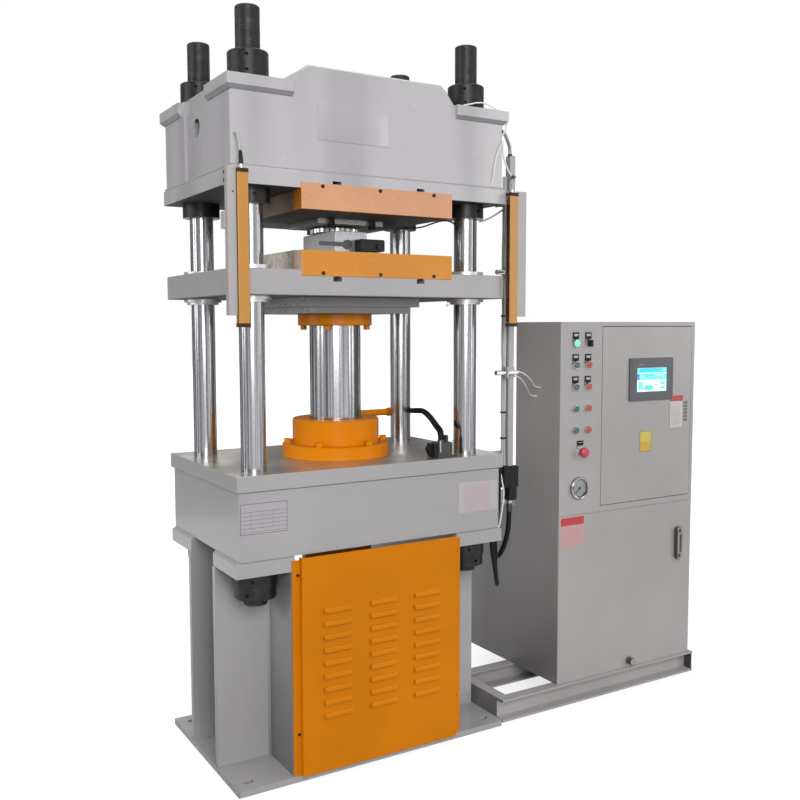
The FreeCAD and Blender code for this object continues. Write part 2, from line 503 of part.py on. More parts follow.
def front_guard():
    """The sheet cover on the legs: a flanged tray with rows of pressed louvres."""
    hx, t, back = GUARD_X / 2, GUARD_SHEET, GUARD_SEAT_Y
    sheet = block(-hx, hx, -GUARD_FRONT, back, FOOT_T, GUARD_TOP)
    sheet = sheet.makeFillet(3.0, edges_where(
        sheet, lambda c, b: b.ZLength > t and abs(c.y + GUARD_FRONT) < 0.01))
    sheet = sheet.cut(block(-hx + t, hx - t, -GUARD_FRONT + t, back + 1, FOOT_T - 1, GUARD_TOP + 1))
    flanges = [block(*sorted((side * (hx - t), side * LEG_WEB_X)), back - t, back, FOOT_T,
                     GUARD_TOP - GUARD_FLANGE_DROP) for side in (-1, 1)]
    sheet = join([sheet] + flanges)
    hoods, mouths = [], []
    for column_at in range(LOUVRE_COLUMNS):
        x = (column_at - (LOUVRE_COLUMNS - 1) / 2) * LOUVRE_PITCH_X
        for row in range(LOUVRE_ROWS):
            z = LOUVRE_LOW_Z + row * LOUVRE_PITCH_Z
            half = LOUVRE_LONG / 2
            hoods.append(louvre_outline(x - half, x + half, LOUVRE_PROUD, z, z + LOUVRE_TALL, t / 2))
            mouths.append(louvre_outline(x - half + t, x + half - t, LOUVRE_PROUD - t, z - 0.5,
                                         z + LOUVRE_TALL - t, 2 * t))
    return drill(sheet.fuse(hoods), [Part.makeCompound(mouths)])


# ----------------------------------------------------- pipe, conduit and cables
def bent_path(points, radius=None):
    """Straight runs joined by tangent arcs, each as large as its two runs allow."""
    pts = [V(*p) for p in points]
    edges, last, radii = [], pts[0], []
    for before, corner, after in zip(pts, pts[1:], pts[2:]):
        u, v = before - corner, after - corner
        shorter = min(u.Length, v.Length)
        u.normalize()
        v.normalize()
        half_turn = (math.pi - u.getAngle(v)) / 2
        r = radius or 0.45 * shorter / math.tan(half_turn)
        cut = r * math.tan(half_turn)
        middle = (u + v).normalize() * (r / math.cos(half_turn) - r)
        start, end = corner + u * cut, corner + v * cut
        edges.append(Part.LineSegment(last, start).toShape())
        edges.append(Part.Arc(start, corner + middle, end).toShape())
        radii.append(round(r))
        last = end
    edges.append(Part.LineSegment(last, pts[-1]).toShape())
    return Part.Wire(edges), radii


def tube(name, points, d, radius=None):
    """A round tube along a bent path; its volume is set against section times length."""
    path, radii = bent_path(points, radius)
    along = V(*points[1]) - V(*points[0])
    ring = Part.Wire([Part.makeCircle(d / 2, V(*points[0]), along)])
    body = path.makePipeShell([ring], True, False)
    area = math.pi * d * d / 4
    print("%s: length %.0f, radii %s, volume ratio %.4f"
          % (name, path.Length, radii, body.Volume / (area * path.Length)))
    return body


PIPE_ROUTE = [(PIPE_X, math.sqrt((GLAND_D / 2) ** 2 - PIPE_X ** 2) - 12, PIPE_Z),
              (PIPE_X, PIPE_Y, PIPE_Z), (PIPE_END_X, PIPE_Y, PIPE_Z)]
BOX_GLAND_X = BOX_X - BOX_GLAND_OFF
BOX_TOP = BED_TOP + BOX_BASE_T + BOX_H
CONDUIT_ROUTE = [(PIPE_END_X, PIPE_Y, PIPE_Z), (PIPE_END_X + 75, PIPE_Y, PIPE_Z),
                 (507, 234, PIPE_Z + 4), (473, 158, PIPE_Z + 8), (437, 82, PIPE_Z + 8),
                 (400, 4, PIPE_Z + 5), (362, -76, PIPE_Z - 1), (327, -152, PIPE_Z - 11),
                 (298, -212, BOX_TOP + 40), (281, -249, BOX_TOP + 36),
                 (BOX_GLAND_X, BOX_Y, BOX_TOP + 22), (BOX_GLAND_X, BOX_Y, BOX_TOP - 8)]


def pipe_coupling():
    """The sleeve that holds the pipe's end and the conduit's end."""
    half = COUPLING_LONG / 2
    start = (PIPE_END_X - half, PIPE_Y, PIPE_Z)
    sleeve = lying(COUPLING_D, start, (1, 0, 0), COUPLING_LONG)
    sleeve = sleeve.makeChamfer(1.5, [e for e in sleeve.Edges if e.BoundBox.XLength < 0.01])
    pipe_side = lying(PIPE_D, start, (1, 0, 0), half)
    conduit_side = lying(CONDUIT_D, (PIPE_END_X, PIPE_Y, PIPE_Z), (1, 0, 0), half + 1)
    return drill(sleeve, [pipe_side, conduit_side])


HOSE_ROUTE = [(586, -250, 815), (586, -250, 757), (592, -236, 690), (590, -216, 634),
              (590, -190, 596), (604, -152, 578), (618, -114, 598), (620, -94, 648),
              (600, -90, 706), (552, -90, 755), (BEAM_HALF_X, -90, 755)]
LOOP_ROUTE = [(501, -299, BED_TOP - BED_PLATE_T), (501, -299, 884), (510, -286, 812),
              (530, -250, 745), (545, -218, 675), (559, -202, 605), (562, -201, 534),
              (552, -223, 505), (526, -259, 505), (506, -281, 534), (494, -282, 600),
              (484, -281, 648), (484, -281, BEAM_BOTTOM)]


RAIL_RIGHT = RAIL_X + RAIL_W / 2
CURTAIN_TOP = CURTAIN_BOTTOM + CURTAIN_H
HEAD_FRONT_Y = -HEAD_BODY_Y / 2
CURTAIN_Y = -HEAD_FLANGE_Y / 2 - BRACKET_GAP - BRACKET_T - CURTAIN_DEEP / 2
WIRE_ROUTES = {
    "upper wire": [(RAIL_RIGHT, -242, 1286), (RAIL_RIGHT + 22, -242, 1286), (673, -226, 1276),
                   (726, -198, 1249), (766, -174, 1217), (CAB_X0, -174, 1217)],
    "lower wire": [(RAIL_RIGHT, -232, 1270), (RAIL_RIGHT + 22, -232, 1270), (672, -212, 1254),
                   (724, -178, 1216), (764, -148, 1182), (CAB_X0, -148, 1182)],
    "left curtain lead": [(CURTAIN_LEFT_X, CURTAIN_Y, CURTAIN_TOP),
                          (CURTAIN_LEFT_X, CURTAIN_Y, CURTAIN_TOP + 44),
                          (CURTAIN_LEFT_X - 5, CURTAIN_Y + 4, CURTAIN_TOP + 84),
                          (CURTAIN_LEFT_X - 9, HEAD_FRONT_Y - 22, CURTAIN_TOP + 106),
                          (CURTAIN_LEFT_X - 9, HEAD_FRONT_Y, CURTAIN_TOP + 106)],
    "right curtain lead": [(CURTAIN_RIGHT_X, CURTAIN_Y, CURTAIN_TOP),
                           (CURTAIN_RIGHT_X, CURTAIN_Y, CURTAIN_TOP + 28),
                           (528, -328, 1966), (552, -302, 1978), (RAIL_X - 6, -280, 1980),
                           (RAIL_X - 6, RAIL_Y - RAIL_DEEP / 2, 1980)],
    "top lead": [(HEAD_BODY_X / 2, -292, 2128), (HEAD_BODY_X / 2 + 20, -292, 2128),
                 (536, -282, 2114), (562, -262, 2098), (RAIL_X - 5, -240, RAIL_TOP + 26),
                 (RAIL_X - 5, -240, RAIL_TOP)]}


# ---------------------------------------------------------------- connector box
def connector_box():
    """The multi-pole connector's base and hood with the conduit's gland on top."""
    z = BED_TOP
    base = slab(BOX_BASE_X, BOX_Y, BOX_BASE_W, BOX_BASE_DEEP, z, z + BOX_BASE_T)
    hood = slab(BOX_X, BOX_Y, BOX_W, BOX_DEEP, z + BOX_BASE_T, z + BOX_H + BOX_BASE_T)
    hood = hood.makeChamfer(3.0, edges_where(hood, lambda c, b: c.z > z + BOX_BASE_T + 1))
    top = BOX_TOP
    gx, gy = BOX_GLAND_X, BOX_Y
    gland = rod(BOX_GLAND_D, top - 1, top + BOX_GLAND_H, gx, gy)
    catch_x = gx + BOX_GLAND_D / 2 + BOX_CATCH_W / 2 + BOX_CATCH_GAP
    catch = slab(catch_x, gy, BOX_CATCH_W, BOX_CATCH_DEEP, top - 1, top + BOX_CATCH_H)
    body = join([base, hood, gland, catch])
    bore = rod(CONDUIT_D, CONDUIT_ROUTE[-1][2], top + BOX_GLAND_H + 1, gx, gy)
    return body.cut(bore)


def connector_plug():
    """The strip between the halves, the locking lever and the cable entry under it."""
    z = BED_TOP + BOX_BASE_T
    right = BOX_X - BOX_W / 2
    strip = block(right - BOX_STRIP_W, right, BOX_Y - BOX_DEEP / 2 + 2, BOX_Y + BOX_DEEP / 2 - 2,
                  z, z + BOX_H - 3)
    left = right - BOX_STRIP_W
    tip, mid = left - BOX_PLUG_W, z + BOX_LEVER_UP
    y0 = BOX_Y - BOX_PLUG_DEEP / 2
    lever = [(left, mid), (left, z + BOX_H - 3), (left - 4, z + BOX_H - 3), (tip, mid + 4),
             (tip, mid)]
    entry = [(left, z + 2), (left, mid), (tip + 3, mid), (tip + 3, mid - 4), (left - 5, z + 2)]
    lever, entry = [polygon([(x, y0, h) for x, h in outline]).extrude(V(0, BOX_PLUG_DEEP, 0))
                    for outline in (lever, entry)]
    return strip, lever, entry


# ---------------------------------------------------- light curtains and bracket
BRACKET_BACK = -HEAD_FLANGE_Y / 2 - BRACKET_GAP
BRACKET_FACE = BRACKET_BACK - BRACKET_T


def curtain(x, window_side):
    """A light curtain's bar, with its sunk lens on the face that looks across."""
    y0, y1 = BRACKET_FACE - CURTAIN_DEEP, BRACKET_FACE
    z0, z1 = CURTAIN_BOTTOM + CURTAIN_CAP_H, CURTAIN_BOTTOM + CURTAIN_H - CURTAIN_CAP_H
    bar = slab(x, (y0 + y1) / 2, CURTAIN_W, CURTAIN_DEEP, z0, z1)
    bar = bar.makeFillet(3.0, edges_where(bar, lambda c, b: b.ZLength > CURTAIN_CAP_H))
    face = x + window_side * CURTAIN_W / 2
    x0, x1 = sorted((face + window_side, face - window_side * 1.5))
    return bar.cut(block(x0, x1, y0 + 6, y1 - 7, z0 - 1, z1 + 1))


def curtain_caps(x):
    """The moulded caps at both ends of a bar."""
    y = BRACKET_FACE - CURTAIN_DEEP / 2
    caps = []
    for z0 in (CURTAIN_BOTTOM, CURTAIN_BOTTOM + CURTAIN_H - CURTAIN_CAP_H):
        cap = slab(x, y, CURTAIN_W, CURTAIN_DEEP, z0, z0 + CURTAIN_CAP_H)
        outer = CURTAIN_BOTTOM if z0 == CURTAIN_BOTTOM else CURTAIN_BOTTOM + CURTAIN_H
        cap = cap.makeChamfer(2.5, edges_where(cap, lambda c, b: abs(c.z - outer) < 0.01))
        caps.append(cap)
    return caps


def bracket(x0, x1, side, bar_x):
    """A strip in front of the crosshead, folded forward beside the bar and back to a tab."""
    t, z0, z1 = BRACKET_T, BRACKET_BOTTOM, BRACKET_TOP
    strip = block(x0, x1, BRACKET_FACE, BRACKET_BACK, z0, z1)
    outer = x1 if side > 0 else x0
    beside = bar_x + side * (CURTAIN_W / 2 + 1.0)
    wall = block(*sorted((outer, outer - side * t)), BRACKET_FACE - BRACKET_FOLD, BRACKET_FACE,
                 z0, z1)
    front = block(*sorted((outer, beside)), BRACKET_FACE - BRACKET_FOLD,
                  BRACKET_FACE - BRACKET_FOLD + t, z0, z1)
    edge = side * HEAD_FLANGE_X / 2
    t0, t1 = sorted((edge, edge + side * BRACKET_T))
    tab = block(t0, t1, BRACKET_BACK, BRACKET_BACK + BRACKET_TAB_LONG,
                BRACKET_TOP - BRACKET_TAB_H, BRACKET_TOP)
    return join([strip, wall, front, tab])


def bracket_bolts(side):
    """Two bolts through a bracket's tab."""
    x = side * (HEAD_FLANGE_X / 2 + BRACKET_T)
    y = BRACKET_BACK + BRACKET_TAB_LONG / 2
    return [socket_screw(x, y, BRACKET_TOP - 12 - 24 * i, BRACKET_BOLT_D, BRACKET_BOLT_H, (side, 0, 0))
            for i in range(2)]


def limit_switch():
    """The end switch behind the left strip."""
    x1 = -BRACKET_LEFT_REACH + SWITCH_IN
    y0 = BRACKET_BACK
    body = block(x1 - SWITCH_W, x1, y0, y0 + SWITCH_DEEP, SWITCH_TOP - SWITCH_H, SWITCH_TOP)
    body = body.makeFillet(2.0, edges_where(body, lambda c, b: b.YLength > 10))
    return body


# ------------------------------------------------------------------ sensor rail
RAIL_FACE = RAIL_Y - RAIL_DEEP / 2
SENSOR_Y = RAIL_FACE - BRACKET_T - SENSOR_NUT_D / 2 - SEAM_CLEAR


def sensor_rail():
    """A box-section rail with a closed top, two wall tabs and two angled sensor plates."""
    hw, hd = RAIL_W / 2, RAIL_DEEP / 2
    rail = slab(RAIL_X, RAIL_Y, RAIL_W, RAIL_DEEP, RAIL_BOTTOM, RAIL_TOP)
    rail = rail.makeFillet(2.0, edges_where(rail, lambda c, b: b.ZLength > RAIL_W * 2))
    rail = rail.cut(slab(RAIL_X, RAIL_Y, RAIL_W - 2 * RAIL_WALL, RAIL_DEEP - 2 * RAIL_WALL,
                         RAIL_BOTTOM - 1, RAIL_TOP - RAIL_WALL))
    parts = [rail]
    for z, wall_x in zip(RAIL_TAB_Z, (BED_X / 2, HEAD_FLANGE_X / 2)):
        back = RAIL_Y + hd
        parts.append(block(wall_x, RAIL_X + hw, back, back + RAIL_TAB_T, z - RAIL_TAB_H / 2,
                           z + RAIL_TAB_H / 2))
        parts.append(block(wall_x, wall_x + RAIL_TAB_T, back, back + RAIL_TAB_H,
                           z - RAIL_TAB_H / 2, z + RAIL_TAB_H / 2))
    for z in SENSOR_Z:
        x0 = PLATEN_X / 2 + SENSOR_TIP_GAP + SENSOR_LONG * 0.35
        half = RAIL_TAB_H / 2
        parts.append(block(x0, RAIL_X + hw, RAIL_FACE - BRACKET_T, RAIL_FACE, z - half, z + half))
        lug = block(x0, x0 + BRACKET_T, SENSOR_Y - 15, RAIL_FACE, z - half, z + half)
        parts.append(lug.cut(lying(SENSOR_D, (x0 - 1, SENSOR_Y, z), (1, 0, 0), BRACKET_T + 2)))
    return join(parts)


def barrel_sensors():
    """Two threaded barrel sensors, each held by a nut on both sides of its plate."""
    solids = []
    x_tip = PLATEN_X / 2 + SENSOR_TIP_GAP / 2
    x_plate = PLATEN_X / 2 + SENSOR_TIP_GAP + SENSOR_LONG * 0.35
    for z in SENSOR_Z:
        barrel = lying(SENSOR_D, (x_tip, SENSOR_Y, z), (1, 0, 0), SENSOR_LONG)
        parts = [barrel.makeChamfer(1.0, [e for e in barrel.Edges if e.BoundBox.XLength < 0.01])]
        for x in (x_plate - SENSOR_NUT_T, x_plate + BRACKET_T):
            hexagon = [(x, SENSOR_Y + SENSOR_NUT_D / 2 * math.cos(math.radians(60 * i)),
                        z + SENSOR_NUT_D / 2 * math.sin(math.radians(60 * i))) for i in range(6)]
            parts.append(polygon(hexagon).extrude(V(SENSOR_NUT_T, 0, 0)))
        solids.append(join(parts))
    return solids


def cable_bundle():
    """The cable bundle along the rail, with its ties."""
    parts = [rod(BUNDLE_D, BUNDLE_BOTTOM, BUNDLE_TOP, BUNDLE_X, BUNDLE_Y)]
    for z in BUNDLE_TIE_Z:
        parts.append(rod(BUNDLE_TIE_D, z, z + BUNDLE_TIE_H, BUNDLE_X, BUNDLE_Y))
    return join(parts)


def junction_block():
    """The manifold block beside the bed, with its narrower lower part and a side plate."""
    x0 = RAIL_X - JUNCTION_W / 2 - 6
    y = RAIL_Y - 4
    z1 = RAIL_BOTTOM - SEAM_CLEAR
    z0 = z1 - JUNCTION_H
    body = block(x0, x0 + JUNCTION_W, y - JUNCTION_DEEP / 2, y + JUNCTION_DEEP / 2, z0, z1)
    body = body.makeChamfer(1.5, edges_where(body, lambda c, b: True))
    neck = slab(HOSE_ROUTE[0][0] + 4, HOSE_ROUTE[0][1], JUNCTION_NECK_W, JUNCTION_NECK_W,
                HOSE_ROUTE[0][2], z0 + 1)
    arm = block(BEAM_HALF_X, x0 + 2, y - JUNCTION_DEEP / 4, y + JUNCTION_DEEP / 4, z0 + 8, z0 + 28)
    return join([body, neck, arm])


# --------------------------------------------------------------------- tooling
def lower_die():
    """The lower die block with its strap and the holder in front."""
    die = slab(0, 0, DIE_X, DIE_Y, DIE_Z, DIE_Z + DIE_H)
    die = die.makeChamfer(1.5, edges_where(die, lambda c, b: True))
    front = -DIE_Y / 2
    z = DIE_Z + STRAP_Z
    r = STRAP_W / 2
    strap = block(-STRAP_LONG, -r, front - 8, front, z, z + STRAP_T)
    end = lying(STRAP_W, (-r, front - 8, z + STRAP_T / 2), (0, 1, 0), 8)
    holder = block(12, 12 + HOLDER_LONG, front - HOLDER_W, front, z - 17, z - 17 + HOLDER_H)
    holder = holder.makeChamfer(4.0, edges_where(holder, lambda c, b: b.YLength > 10))
    knob = lying(HOLDER_KNOB_D, (84, front - HOLDER_W - 8, z), (0, 1, 0), 9)
    return die, strap.fuse(end).removeSplitter(), join([holder, knob])


def toothed_ring():
    """The ring die: a ring with a crown of teeth round its rim."""
    z0, z1 = DIE_Z + DIE_H, DIE_Z + DIE_H + DIE_RING_H - 2
    r = DIE_RING_D / 2
    ring = turned([(r * 0.45, z0), (r - 2, z0), (r, z0 + 2), (r, z1), (r * 0.45, z1)])
    gaps = []
    for i in range(DIE_TEETH):
        a = 2 * math.pi * i / DIE_TEETH
        half = math.pi / DIE_TEETH * 0.55
        deep = r - DIE_TOOTH
        pts = [(deep * math.cos(a), deep * math.sin(a), z0 - 1),
               ((r + 1) * math.cos(a - half), (r + 1) * math.sin(a - half), z0 - 1),
               ((r + 1) * math.cos(a + half), (r + 1) * math.sin(a + half), z0 - 1)]
        gaps.append(polygon(pts).extrude(V(0, 0, z1 - z0 + 2)))
    return drill(ring, [Part.makeCompound(gaps)])


def die_plate():
    """The upper die plate under the upper bolster."""
    z1 = UPPER_BOLSTER_BOTTOM
    plate = slab(0, 0, DIE_PLATE_X, DIE_PLATE_Y, z1 - DIE_PLATE_T, z1)
    return plate.makeChamfer(1.5, edges_where(plate, lambda c, b: c.z < z1 - 1))


def clamps():
    """Stepped clamps at the upper die plate's front and rear edges."""
    solids = []
    z1 = UPPER_BOLSTER_BOTTOM
    for side in (-1, 1):
        edge = side * DIE_PLATE_Y / 2
        at = CLAMP_X if side < 0 else CLAMP_REAR_X
        for x in (-at, at):
            y0, y1 = sorted((edge, edge + side * CLAMP_W))
            post = block(x - CLAMP_W / 2, x + CLAMP_W / 2, y0, y1, z1 - CLAMP_H, z1)
            n0, n1 = sorted((edge - side * CLAMP_STEP, edge + side * CLAMP_W))
            nose = block(x - CLAMP_W / 2, x + CLAMP_W / 2, n0, n1, z1 - CLAMP_H,
                         z1 - DIE_PLATE_T - SEAM_CLEAR)
            solids.append(join([post, nose]))
    return solids


# ------------------------------------------------------------- cabinet and tank
CAB_WALL = 3.0
FRAME_DEEP = 26.0
HINGE_IN, HINGE_PIN_D, HINGE_PIN_LONG = 5.0, 6.0, 9.0
DOOR_X1 = DOOR_X0 + DOOR_W
DOOR_Z1 = DOOR_Z0 + DOOR_H
HINGE_X = DOOR_X1 - HINGE_IN
HINGE_Y = CAB_FRONT - DOOR_PROUD + HINGE_IN


def front_hole(x, z, d, deep):
    """A round cutter that runs back from the cabinet's front."""
    return lying(d, (x, CAB_FRONT - 1, z), (0, 1, 0), deep + 1)


def cabinet():
    """The control cabinet's housing, open behind its door, with holes for the elements."""
    y1 = CAB_FRONT + CAB_DEEP
    shell = block(CAB_X0, CAB_X1, CAB_FRONT, y1, TANK_TOP, CAB_TOP)
    shell = shell.makeFillet(3.0, edges_where(
        shell, lambda c, b: abs(c.y - CAB_FRONT) < 0.01 and b.YLength < 1))
    room = block(CAB_X0 + CAB_WALL, CAB_X1 - CAB_WALL, CAB_FRONT + FRAME_DEEP, y1 - CAB_WALL,
                 TANK_TOP + CAB_WALL, CAB_TOP - CAB_WALL)
    way = block(DOOR_X0 - DOOR_GAP, DOOR_X1 + DOOR_GAP, CAB_FRONT - 5, CAB_FRONT + FRAME_DEEP + 1,
                DOOR_Z0 - DOOR_GAP, DOOR_Z1 + DOOR_GAP)
    tools = [room, way]
    for x in BUTTON_X:
        for z in BUTTON_Z:
            tools.append(front_hole(x, z, BUTTON_D + 2 * BUTTON_FIT, FRAME_DEEP + 2))
    tools.append(front_hole(ESTOP_X, ESTOP_Z, BUTTON_D + 2 * BUTTON_FIT, FRAME_DEEP + 2))
    pin = HINGE_PIN_D + 2 * COLUMN_FIT
    tools.append(rod(pin, DOOR_Z0 - HINGE_PIN_LONG - 2, DOOR_Z0, HINGE_X, HINGE_Y))
    tools.append(rod(pin, DOOR_Z1, DOOR_Z1 + HINGE_PIN_LONG + 2, HINGE_X, HINGE_Y))
    return drill(shell, tools)


def cabinet_door():
    """The folded door with its hinge pins and the cut-out for the operator panel."""
    y0 = CAB_FRONT - DOOR_PROUD
    y1 = y0 + DOOR_T
    door = block(DOOR_X0, DOOR_X1, y0, y1, DOOR_Z0, DOOR_Z1)
    door = door.makeFillet(1.0, edges_where(
        door, lambda c, b: abs(c.y - y0) < 0.01 and b.YLength < 1))
    t = DOOR_SHEET
    hollow = block(DOOR_X0 + t, DOOR_X1 - t, y0 + t, y1 + 1, DOOR_Z0 + t, DOOR_Z1 - t)
    lug_x = DOOR_X1 - 2 * HINGE_IN - 2
    lugs = [block(lug_x, DOOR_X1 - t / 2, y0 + t / 2, HINGE_Y + HINGE_IN + 3, z, z + 20)
            for z in (DOOR_Z0 + t / 2, DOOR_Z1 - 20 - t / 2)]
    pins = [rod(HINGE_PIN_D, DOOR_Z0 - HINGE_PIN_LONG, DOOR_Z0 + 5, HINGE_X, HINGE_Y),
            rod(HINGE_PIN_D, DOOR_Z1 - 5, DOOR_Z1 + HINGE_PIN_LONG, HINGE_X, HINGE_Y)]
    window = block(HMI_X0 + (HMI_W - HMI_BACK_W) / 2, HMI_X0 + (HMI_W + HMI_BACK_W) / 2, y0 - 1,
                   y0 + t + 1, HMI_Z0 + (HMI_H - HMI_BACK_H) / 2, HMI_Z0 + (HMI_H + HMI_BACK_H) / 2)
    return join([door.cut(hollow)] + lugs + pins).cut(window)


def operator_panel():
    """The operator panel: a bezel on the door, a sunk screen and a housing behind."""
    y0 = CAB_FRONT - DOOR_PROUD
    bezel = block(HMI_X0, HMI_X0 + HMI_W, y0 - HMI_PROUD, y0, HMI_Z0, HMI_Z0 + HMI_H)
    bezel = bezel.makeFillet(6.0, edges_where(bezel, lambda c, b: b.YLength > HMI_PROUD / 2))
    bezel = bezel.makeChamfer(2.0, edges_where(
        bezel, lambda c, b: abs(c.y - y0 + HMI_PROUD) < 0.01 and b.YLength < 1))
    bezel = bezel.cut(block(SCREEN_X0, SCREEN_X0 + SCREEN_W, y0 - HMI_PROUD - 1,
                            y0 - HMI_PROUD + SCREEN_SUNK, SCREEN_Z0, SCREEN_Z0 + SCREEN_H))
    g = SEAM_CLEAR
    back = block(HMI_X0 + (HMI_W - HMI_BACK_W) / 2 + g, HMI_X0 + (HMI_W + HMI_BACK_W) / 2 - g,
                 y0 - 1, y0 + HMI_BACK_DEEP, HMI_Z0 + (HMI_H - HMI_BACK_H) / 2 + g,
                 HMI_Z0 + (HMI_H + HMI_BACK_H) / 2 - g)
    return join([bezel, back])


def tank():
    """The oil tank with its rounded corners and the two fittings' seats."""
    body = block(CAB_X0, CAB_X1, CAB_FRONT, CAB_FRONT + TANK_DEEP, CHANNEL_H, TANK_TOP)
    body = body.makeFillet(5.0, edges_where(body, lambda c, b: b.ZLength > TANK_TOP / 2))
    seam = block(CAB_X0 - 1, CAB_X1 + 1, CAB_FRONT - 1, CAB_FRONT + CAB_SHEET, TANK_TOP - CAB_REVEAL,
                 TANK_TOP + 1)
    return body.cut(seam)


def tank_fittings():
    """The level gauge with its glass and two bolts, and the hexagonal drain plug."""
    y = CAB_FRONT
    r = LEVEL_W / 2
    z0, z1 = LEVEL_Z - LEVEL_H / 2 + r, LEVEL_Z + LEVEL_H / 2 - r
    bar = block(LEVEL_X - r, LEVEL_X + r, y - LEVEL_PROUD, y, z0, z1)
    ends = [lying(LEVEL_W, (LEVEL_X, y, z), (0, -1, 0), LEVEL_PROUD) for z in (z0, z1)]
    case = join([bar] + ends)
    case = case.makeChamfer(2.0, edges_where(
        case, lambda c, b: abs(c.y - y + LEVEL_PROUD) < 0.01 and b.YLength < 1))
    half = LEVEL_TUBE_H / 2
    case = case.cut(block(LEVEL_X - LEVEL_TUBE_W / 2, LEVEL_X + LEVEL_TUBE_W / 2,
                          y - LEVEL_PROUD - 1, y - LEVEL_PROUD + 6, LEVEL_Z - half, LEVEL_Z + half))
    for z in (z0, z1):
        hexagon = [(LEVEL_X + LEVEL_BOLT_D / 2 * math.cos(math.radians(60 * i)),
                    y - LEVEL_PROUD, z + LEVEL_BOLT_D / 2 * math.sin(math.radians(60 * i)))
                   for i in range(6)]
        case = case.fuse(polygon(hexagon).extrude(V(0, -7, 0)))
    collar = lying(DRAIN_D * 1.2, (DRAIN_X, y, DRAIN_Z), (0, -1, 0), 5)
    hexagon = [(DRAIN_X + DRAIN_D / 2 * math.cos(math.radians(60 * i)), y - 4,
                DRAIN_Z + DRAIN_D / 2 * math.sin(math.radians(60 * i))) for i in range(6)]
    plug = collar.fuse(polygon(hexagon).extrude(V(0, 4 - DRAIN_LONG, 0)))
    return case.removeSplitter(), plug.removeSplitter()


# ---------------------------------------------------------- operating elements
def bezel(x, z, lens=False):
    """A ring round a button; the lamp's ring carries its domed lens."""
    bore, r, p = BUTTON_D / 2 + BUTTON_FIT, BEZEL_D / 2, BEZEL_PROUD
    ring = turned_front([(bore, 0), (r, 0), (r, p), (bore, p)], x, z)
    if not lens:
        return ring
    dome = turned_front([(0, -10), (bore, -10), (bore, p + 1), (bore - 4, p + 5), (0, p + 5)], x, z)
    return join([ring, dome])


def push_button(x, z):
    """A push button's cap and stem with an eased rim."""
    r, p = BUTTON_D / 2, BEZEL_PROUD + BUTTON_PROUD
    return turned_front([(0, -6), (r, -6), (r, p - 1.5), (r - 1.5, p), (0, p)], x, z)


def selector(x, z):
    """The selector's turning knob: a round base with a raised grip across it."""
    r, p = BUTTON_D / 2, BEZEL_PROUD + 2
    base = turned_front([(0, -6), (r, -6), (r, p - 1), (r - 1, p), (0, p)], x, z)
    half = SELECTOR_LONG / 2 - 2
    grip = block(x - SELECTOR_W / 2, x + SELECTOR_W / 2, CAB_FRONT - p - SELECTOR_TALL + 4,
                 CAB_FRONT - p + 1, z - half, z + half)
    grip = grip.makeFillet(2.5, edges_where(grip, lambda c, b: b.YLength > 5))
    return join([base, grip])


def estop():
    """The mushroom head on its stem."""
    r, p = BUTTON_D / 2, BEZEL_PROUD + ESTOP_STEM
    big, t = ESTOP_HEAD_D / 2, ESTOP_HEAD_T
    return turned_front([(0, -6), (r, -6), (r, p), (big - 2, p), (big, p + 2), (big, p + 0.5 * t),
                         (big - 2, p + 0.75 * t), (big - 6, p + 0.92 * t), (0, p + t)], x=ESTOP_X,
                        z=ESTOP_Z)


def gauge():
    """The pressure gauge's case with its sunk dial."""
    r, p = GAUGE_D / 2, GAUGE_PROUD
    w, sunk = GAUGE_BEZEL_W, GAUGE_FACE_SUNK
    return turned_front([(0, 0), (r, 0), (r, p - 3), (r - 3, p), (r - w, p - 1), (r - w, p - sunk),
                         (0, p - sunk)], GAUGE_X, GAUGE_Z)


def needle():
    """The gauge's needle with its hub, pointing down to the left at rest."""
    base = GAUGE_PROUD - GAUGE_FACE_SUNK + SEAM_CLEAR
    hub = turned_front([(0, base), (HUB_D / 2, base), (HUB_D / 2, base + 3), (HUB_D / 2 - 1, base + 4),
                        (0, base + 4)], GAUGE_X, GAUGE_Z)
    y0 = CAB_FRONT - base - 1 - NEEDLE_T
    blade = polygon([(GAUGE_X - NEEDLE_W, y0, GAUGE_Z), (GAUGE_X, y0, GAUGE_Z - NEEDLE_LONG / 3),
                     (GAUGE_X + NEEDLE_W, y0, GAUGE_Z), (GAUGE_X + 0.4, y0, GAUGE_Z + NEEDLE_LONG),
                     (GAUGE_X - 0.4, y0, GAUGE_Z + NEEDLE_LONG)]).extrude(V(0, NEEDLE_T, 0))
    whole = join([hub, blade])
    whole.rotate(V(GAUGE_X, 0, GAUGE_Z), V(0, 1, 0), -135)
    return whole


# ------------------------------------------------------------------------ skid
def channel(start, along, length, inward):
    """A channel on the floor: web at the outside or inside, two flanges, square ends."""
    t, f, w, h = CHANNEL_WEB, CHANNEL_FLANGE, CHANNEL_W, CHANNEL_H
    out = [(0, 0), (w, 0), (w, f), (t, f * 1.4), (t, h - f * 1.4), (w, h - f), (w, h), (0, h)]
    a, n = V(*along), V(*inward)
    base = V(*start)
    corners = [base + n * u + V(0, 0, v) for u, v in out]
    return Part.Face(Part.makePolygon(corners + corners[:1])).extrude(a * length)


